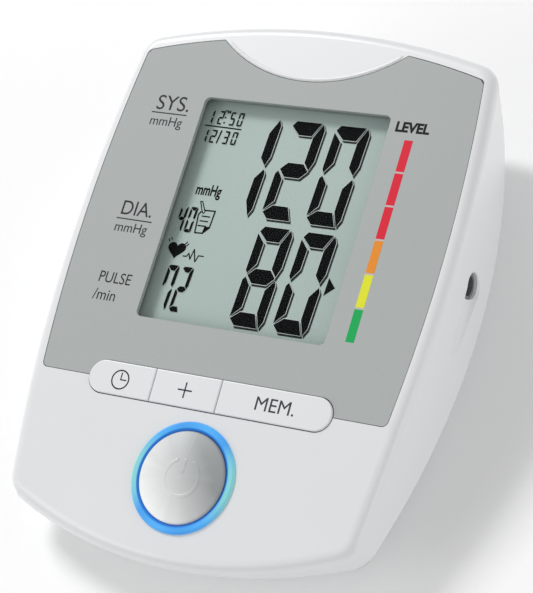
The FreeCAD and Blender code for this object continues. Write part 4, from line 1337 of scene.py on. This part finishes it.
@dataclass(frozen=True)
class KeyPrint:
    """Marks on the bar buttons and on the start button, in millimetres on their face."""

    levels: Point = (0.45, 0.47)
    clock_at: Point = (-24.2, -0.25)
    clock_radius: float = 2.35
    clock_pen: float = 0.36
    hands: Pen = Pen(0.32, ((-24.1, 1.45), (-24.1, -0.25), (-22.6, -0.25)))
    plus: tuple[Pen, ...] = (Pen(0.38, ((-7.7, 0.0), (-4.05, 0.0))),
                             Pen(0.38, ((-5.86, -1.82), (-5.86, 1.86))))
    memory: Words = Words("memory_mark", "MEM.", 13.65, -1.65, 10.4, 3.35)
    start_r: float = 11.4
    dome: float = 2.3
    rim: float = 0.9
    power_x: float = 0.6
    power_drop: float = 0.3
    power_radius: float = 4.55
    power_opening: Point = (112.0, 428.0)
    power_bar: Point = (0.6, 4.65)
    power_half: float = 0.55
    power_tall: float = 0.09

    def build(self, paints: Paints) -> list[bpy.types.Object]:
        """Make the key marks and the raised power sign.

        Args:
            paints: finishes by name.

        Returns:
            The pieces.
        """
        ink = paints["key_ink"]
        rim = arc_points(*self.clock_at, self.clock_radius, 0, 360, 40)
        clock = stroke(rim, self.clock_pen) + stroke(self.hands.points, self.hands.width)
        plus = [ring for pen in self.plus for ring in stroke(pen.points, pen.width)]
        return [
            inked("clock_mark", clock, CONTROL, self.levels, ink, "clock_key"),
            inked("plus_mark", plus, CONTROL, self.levels, ink, "plus_key"),
            new_piece("memory_mark", self.memory.mesh(CONTROL, self.levels[0]), ink,
                      "memory_key"),
            self.power_sign(paints["start_silver"])]

    def power_sign(self, paint: bpy.types.Material, steps: int = 9) -> bpy.types.Object:
        """A ring open at its top with a bar in it, proud of the dome as one soft ridge.

        Args:
            paint: its finish.
            steps: runs in the bar.

        Returns:
            The piece.
        """
        ring = arc_points(self.power_x, START_Y - self.power_drop, self.power_radius,
                          *self.power_opening, 64)
        low, high = self.power_bar
        bar = [(self.power_x, START_Y + low + (high - low) * step / steps)
               for step in range(steps + 1)]
        mesh = ridge("power_sign", (ring, bar), CONTROL, self.dome_level, self.power_half,
                     self.power_tall)
        return new_piece("power_sign", mesh, paint, "start_key")

    def dome_level(self, x: float, y: float) -> float:
        """Find the height of the start button's dome over the control face.

        Args:
            x: place across the face.
            y: place up the face.

        Returns:
            The height there.
        """
        rise = self.dome - self.rim
        radius = (self.start_r ** 2 + rise ** 2) / (2 * rise)
        return self.dome - radius + math.sqrt(radius ** 2 - x * x - (y - START_Y) ** 2)


# ------------------------------------------------------------------ case trims
@dataclass(frozen=True)
class CaseTrims:
    """Small details: the moulded lip under the finger scoop, and the window's edge and a ring
    under its lens, painted in the grey of the shade in the window's recess.
    """

    scoop_half: float = 25.9
    scoop_top: float = 92.9
    scoop_low: float = 83.5
    lip_inset: float = 0.75
    lip_half: float = 0.42
    lip_tall: float = 0.30
    lip_end: float = 1.6
    window_half: float = 26.25
    window_low: float = 16.6
    window_high: float = 76.8
    window_corner: float = 1.6
    edge_reach: Point = (-0.005, -0.06)
    edge_levels: Point = (-1.19, -0.12)
    mask_reach: Point = (1.8, 0.0)
    mask_levels: Point = (-2.45, -2.41)

    def build(self, paints: Paints) -> list[bpy.types.Object]:
        """Make the trims.

        Args:
            paints: finishes by name.

        Returns:
            The pieces.
        """
        sag = self.scoop_top - self.scoop_low
        radius = (self.scoop_half ** 2 + sag ** 2) / (2 * sag)
        spread = math.degrees(math.asin(self.scoop_half / radius)) - self.lip_end
        path = arc_points(0.0, self.scoop_low + radius, radius - self.lip_inset,
                          -90 - spread, -90 + spread, 72)
        lip = ridge("scoop_lip", [path], DISPLAY, lambda x, y: 0.0, self.lip_half,
                    self.lip_tall)
        return [new_piece("scoop_lip", lip, paints["case_white"], "case"),
                # painted shade: the window's recess wall and a ring under the lens take the
                # grey of the shade band; the ring also hides the white frame below
                self.surround("window_edge", self.edge_reach, self.edge_levels,
                              paints["window_edge"]),
                self.surround("window_mask", self.mask_reach, self.mask_levels,
                              paints["window_edge"])]

    def surround(self, name: str, reach: Point, levels: Point,
                 paint: bpy.types.Material) -> bpy.types.Object:
        """A frame round the window's opening.

        Args:
            name: the piece's name.
            reach: how far its outer and inner outline lie outside the opening.
            levels: its lower and upper level.
            paint: its finish.

        Returns:
            The piece.
        """
        outer, inner = (rounded_box(self.window_half + far, self.window_low - far,
                                    self.window_high + far, self.window_corner + far)
                        for far in reach)
        return new_piece(name, collar(name, outer, inner, DISPLAY, levels), paint)


# ------------------------------------------------------------------ all the finishes
def slot_finishes() -> tuple[Finish, ...]:
    """List the finishes of the record's slots, each under its slot's name.

    Returns:
        The finishes.
    """
    start = tuple(spot(CONTROL, 0.0, START_Y, 0.0))
    cell_low, cell_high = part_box("battery_1")
    return (
        MouldedPlastic("case_white", Tone.CASE.value, 0.34, coat=0.18),
        MouldedPlastic("key_white", Tone.KEY.value, 0.34, coat=0.18),
        PrintedPanel("panel_grey", Tone.PANEL.value),
        ClearWindow("clear_lens"),
        DisplayGlass("lcd_glass", Tone.LCD.value),
        MouldedPlastic("frame_plastic", (0.62, 0.62, 0.59), 0.45),
        Rubber("soft_rubber", (0.05, 0.05, 0.055)),
        BrushedLacquer("start_silver", start, CONTROL_TILT),
        LitRing("light_ring", start, CONTROL_TILT),
        SolderMask("circuit_board"),
        MouldedPlastic("black_plastic", (0.018, 0.018, 0.020), 0.42),
        MouldedPlastic("lamp_lens", (0.78, 0.80, 0.84), 0.2),
        Metal("screw_steel", (0.58, 0.58, 0.60), 0.30),
        BatteryJacket("battery_jacket", cell_low.y, cell_high.y),
        Metal("spring_steel", (0.68, 0.68, 0.66), 0.22),
        Metal("motor_steel", (0.52, 0.53, 0.55), 0.30, (40.0, 1.0, 1.0)),
        Metal("magnet", (0.08, 0.08, 0.09), 0.50),
        MouldedPlastic("socket_plastic", (0.17, 0.175, 0.18), 0.40),
        Rubber("tube_rubber", (0.50, 0.51, 0.50), 0.50),
        Rubber("wire", (0.42, 0.02, 0.02), 0.45),
        Rubber("foot_rubber", (0.07, 0.072, 0.075)),
    )


def print_finishes() -> tuple[Finish, ...]:
    """List the finishes of the printed marks, the display and the floor.

    Returns:
        The finishes.
    """
    return (
        PrintedInk("legend_ink", Tone.INK.value),
        PrintedInk("key_ink", Tone.KEY_INK.value),
        PrintedInk("bold_ink", Tone.SEGMENT.value),
        PrintedInk("segment_black", Tone.SEGMENT.value, 0.6, 0.02),
        PrintedInk("segment_rim", Tone.RIM.value, 0.5),
        # painted shade of the display window's recess
        PrintedInk("window_edge", Tone.WINDOW_EDGE.value),
        PrintedInk("scale_backing", Tone.BACKING.value),
        *(PrintedInk(f"scale_{tone.name.lower()}", tone.value)
          for tone in (Tone.GREEN, Tone.YELLOW, Tone.ORANGE, Tone.RED)),
        FaintShadow("digit_shade"),
        FloorPaper("floor_paper"),
    )


def dress_frame(frame: dict, paints: Paints) -> None:
    """Give every CAD node the finish of its slot.

    Args:
        paints: finishes by name.
    """
    slots = {part["node"]: part["material_slot"] for part in frame["record"]["subparts"]}
    for name, piece in frame["nodes"].items():
        paint = paints[slots[name]]
        if not piece.material_slots:
            piece.data.materials.append(paint)
        for holder in piece.material_slots:
            holder.material = paint
        LOG.info("%s wears %s", name, paint.name)


# ------------------------------------------------------------------ studio
@dataclass(frozen=True)
class SoftBox:
    """A square area light that faces the monitor."""

    name: str
    place: tuple[float, float, float]
    side: float
    power: float
    aim: tuple[float, float, float] = (0.0, 0.0, 0.02)

    def make(self) -> None:
        """Put the light in the scene."""
        data = bpy.data.lights.new(self.name, "AREA")
        data.energy, data.size = self.power, self.side
        lamp = bpy.data.objects.new(self.name, data)
        lamp.location = self.place
        way = Vector(self.aim) - lamp.location
        lamp.rotation_euler = way.to_track_quat("-Z", "Y").to_euler()
        bpy.context.scene.collection.objects.link(lamp)


@dataclass(frozen=True)
class Studio:
    """Floor, lights and camera."""

    floor_half: float = 3.0
    sky: float = 0.46
    lamps: tuple[SoftBox, ...] = (
        SoftBox("key_light", (-1.22, 0.93, 1.50), 0.58, 23.5),
        SoftBox("side_fill", (1.10, -0.10, 0.32), 0.60, 2.6),
        SoftBox("front_card", (-0.80, -0.75, 0.62), 0.70, 3.6),
    )
    camera_place: tuple[float, float, float] = (0.24517, -0.22440, 0.41907)
    camera_turn: tuple[float, float, float] = (35.538, 19.244, 22.435)
    lens: float = 127.77
    sensor: float = 36.0
    nearest: float = 0.01

    def build(self, paints: Paints) -> None:
        """Set up the whole studio.

        Args:
            paints: finishes by name.
        """
        self.make_floor(paints["floor_paper"])
        self.make_lights()
        self.make_camera()

    def make_floor(self, paper: bpy.types.Material) -> None:
        """Lay a plain pale floor.

        Args:
            paper: its finish.
        """
        work = bmesh.new()
        bmesh.ops.create_grid(work, x_segments=2, y_segments=2, size=self.floor_half)
        floor = bpy.data.objects.new("floor", baked(work, "floor"))
        floor.data.materials.append(paper)
        bpy.context.scene.collection.objects.link(floor)

    def make_lights(self) -> None:
        """A soft key light from the upper left, side and front fills, and a pale world."""
        scene = bpy.context.scene
        scene.view_settings.view_transform = "Standard"
        scene.world = bpy.data.worlds.new("pale_world")
        scene.world.use_nodes = True
        back = scene.world.node_tree.nodes["Background"]
        back.inputs["Color"].default_value = opaque((1.0, 1.0, 1.0))
        back.inputs["Strength"].default_value = self.sky
        for lamp in self.lamps:
            lamp.make()

    def make_camera(self) -> None:
        """Place the camera and make it the scene's."""
        data = bpy.data.cameras.new("camera")
        data.lens, data.sensor_width, data.clip_start = self.lens, self.sensor, self.nearest
        camera = bpy.data.objects.new("camera", data)
        camera.location = self.camera_place
        camera.rotation_euler = [math.radians(angle) for angle in self.camera_turn]
        bpy.context.scene.collection.objects.link(camera)
        bpy.context.scene.camera = camera


def main() -> None:
    """Load the frame, dress it, add the printed and moulded details, and light it."""
    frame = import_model()
    paints = {finish.name: finish.make() for finish in (*slot_finishes(), *print_finishes())}
    dress_frame(frame, paints)
    for assembly in (PanelPrint(), Display(), KeyPrint(), CaseTrims()):
        for piece in assembly.build(paints):
            LOG.info("%s: %d faces in %s", piece.name, len(piece.data.polygons),
                     piece.data.materials[0].name)
    Studio().build(paints)


if __name__ == "__main__":
    main()
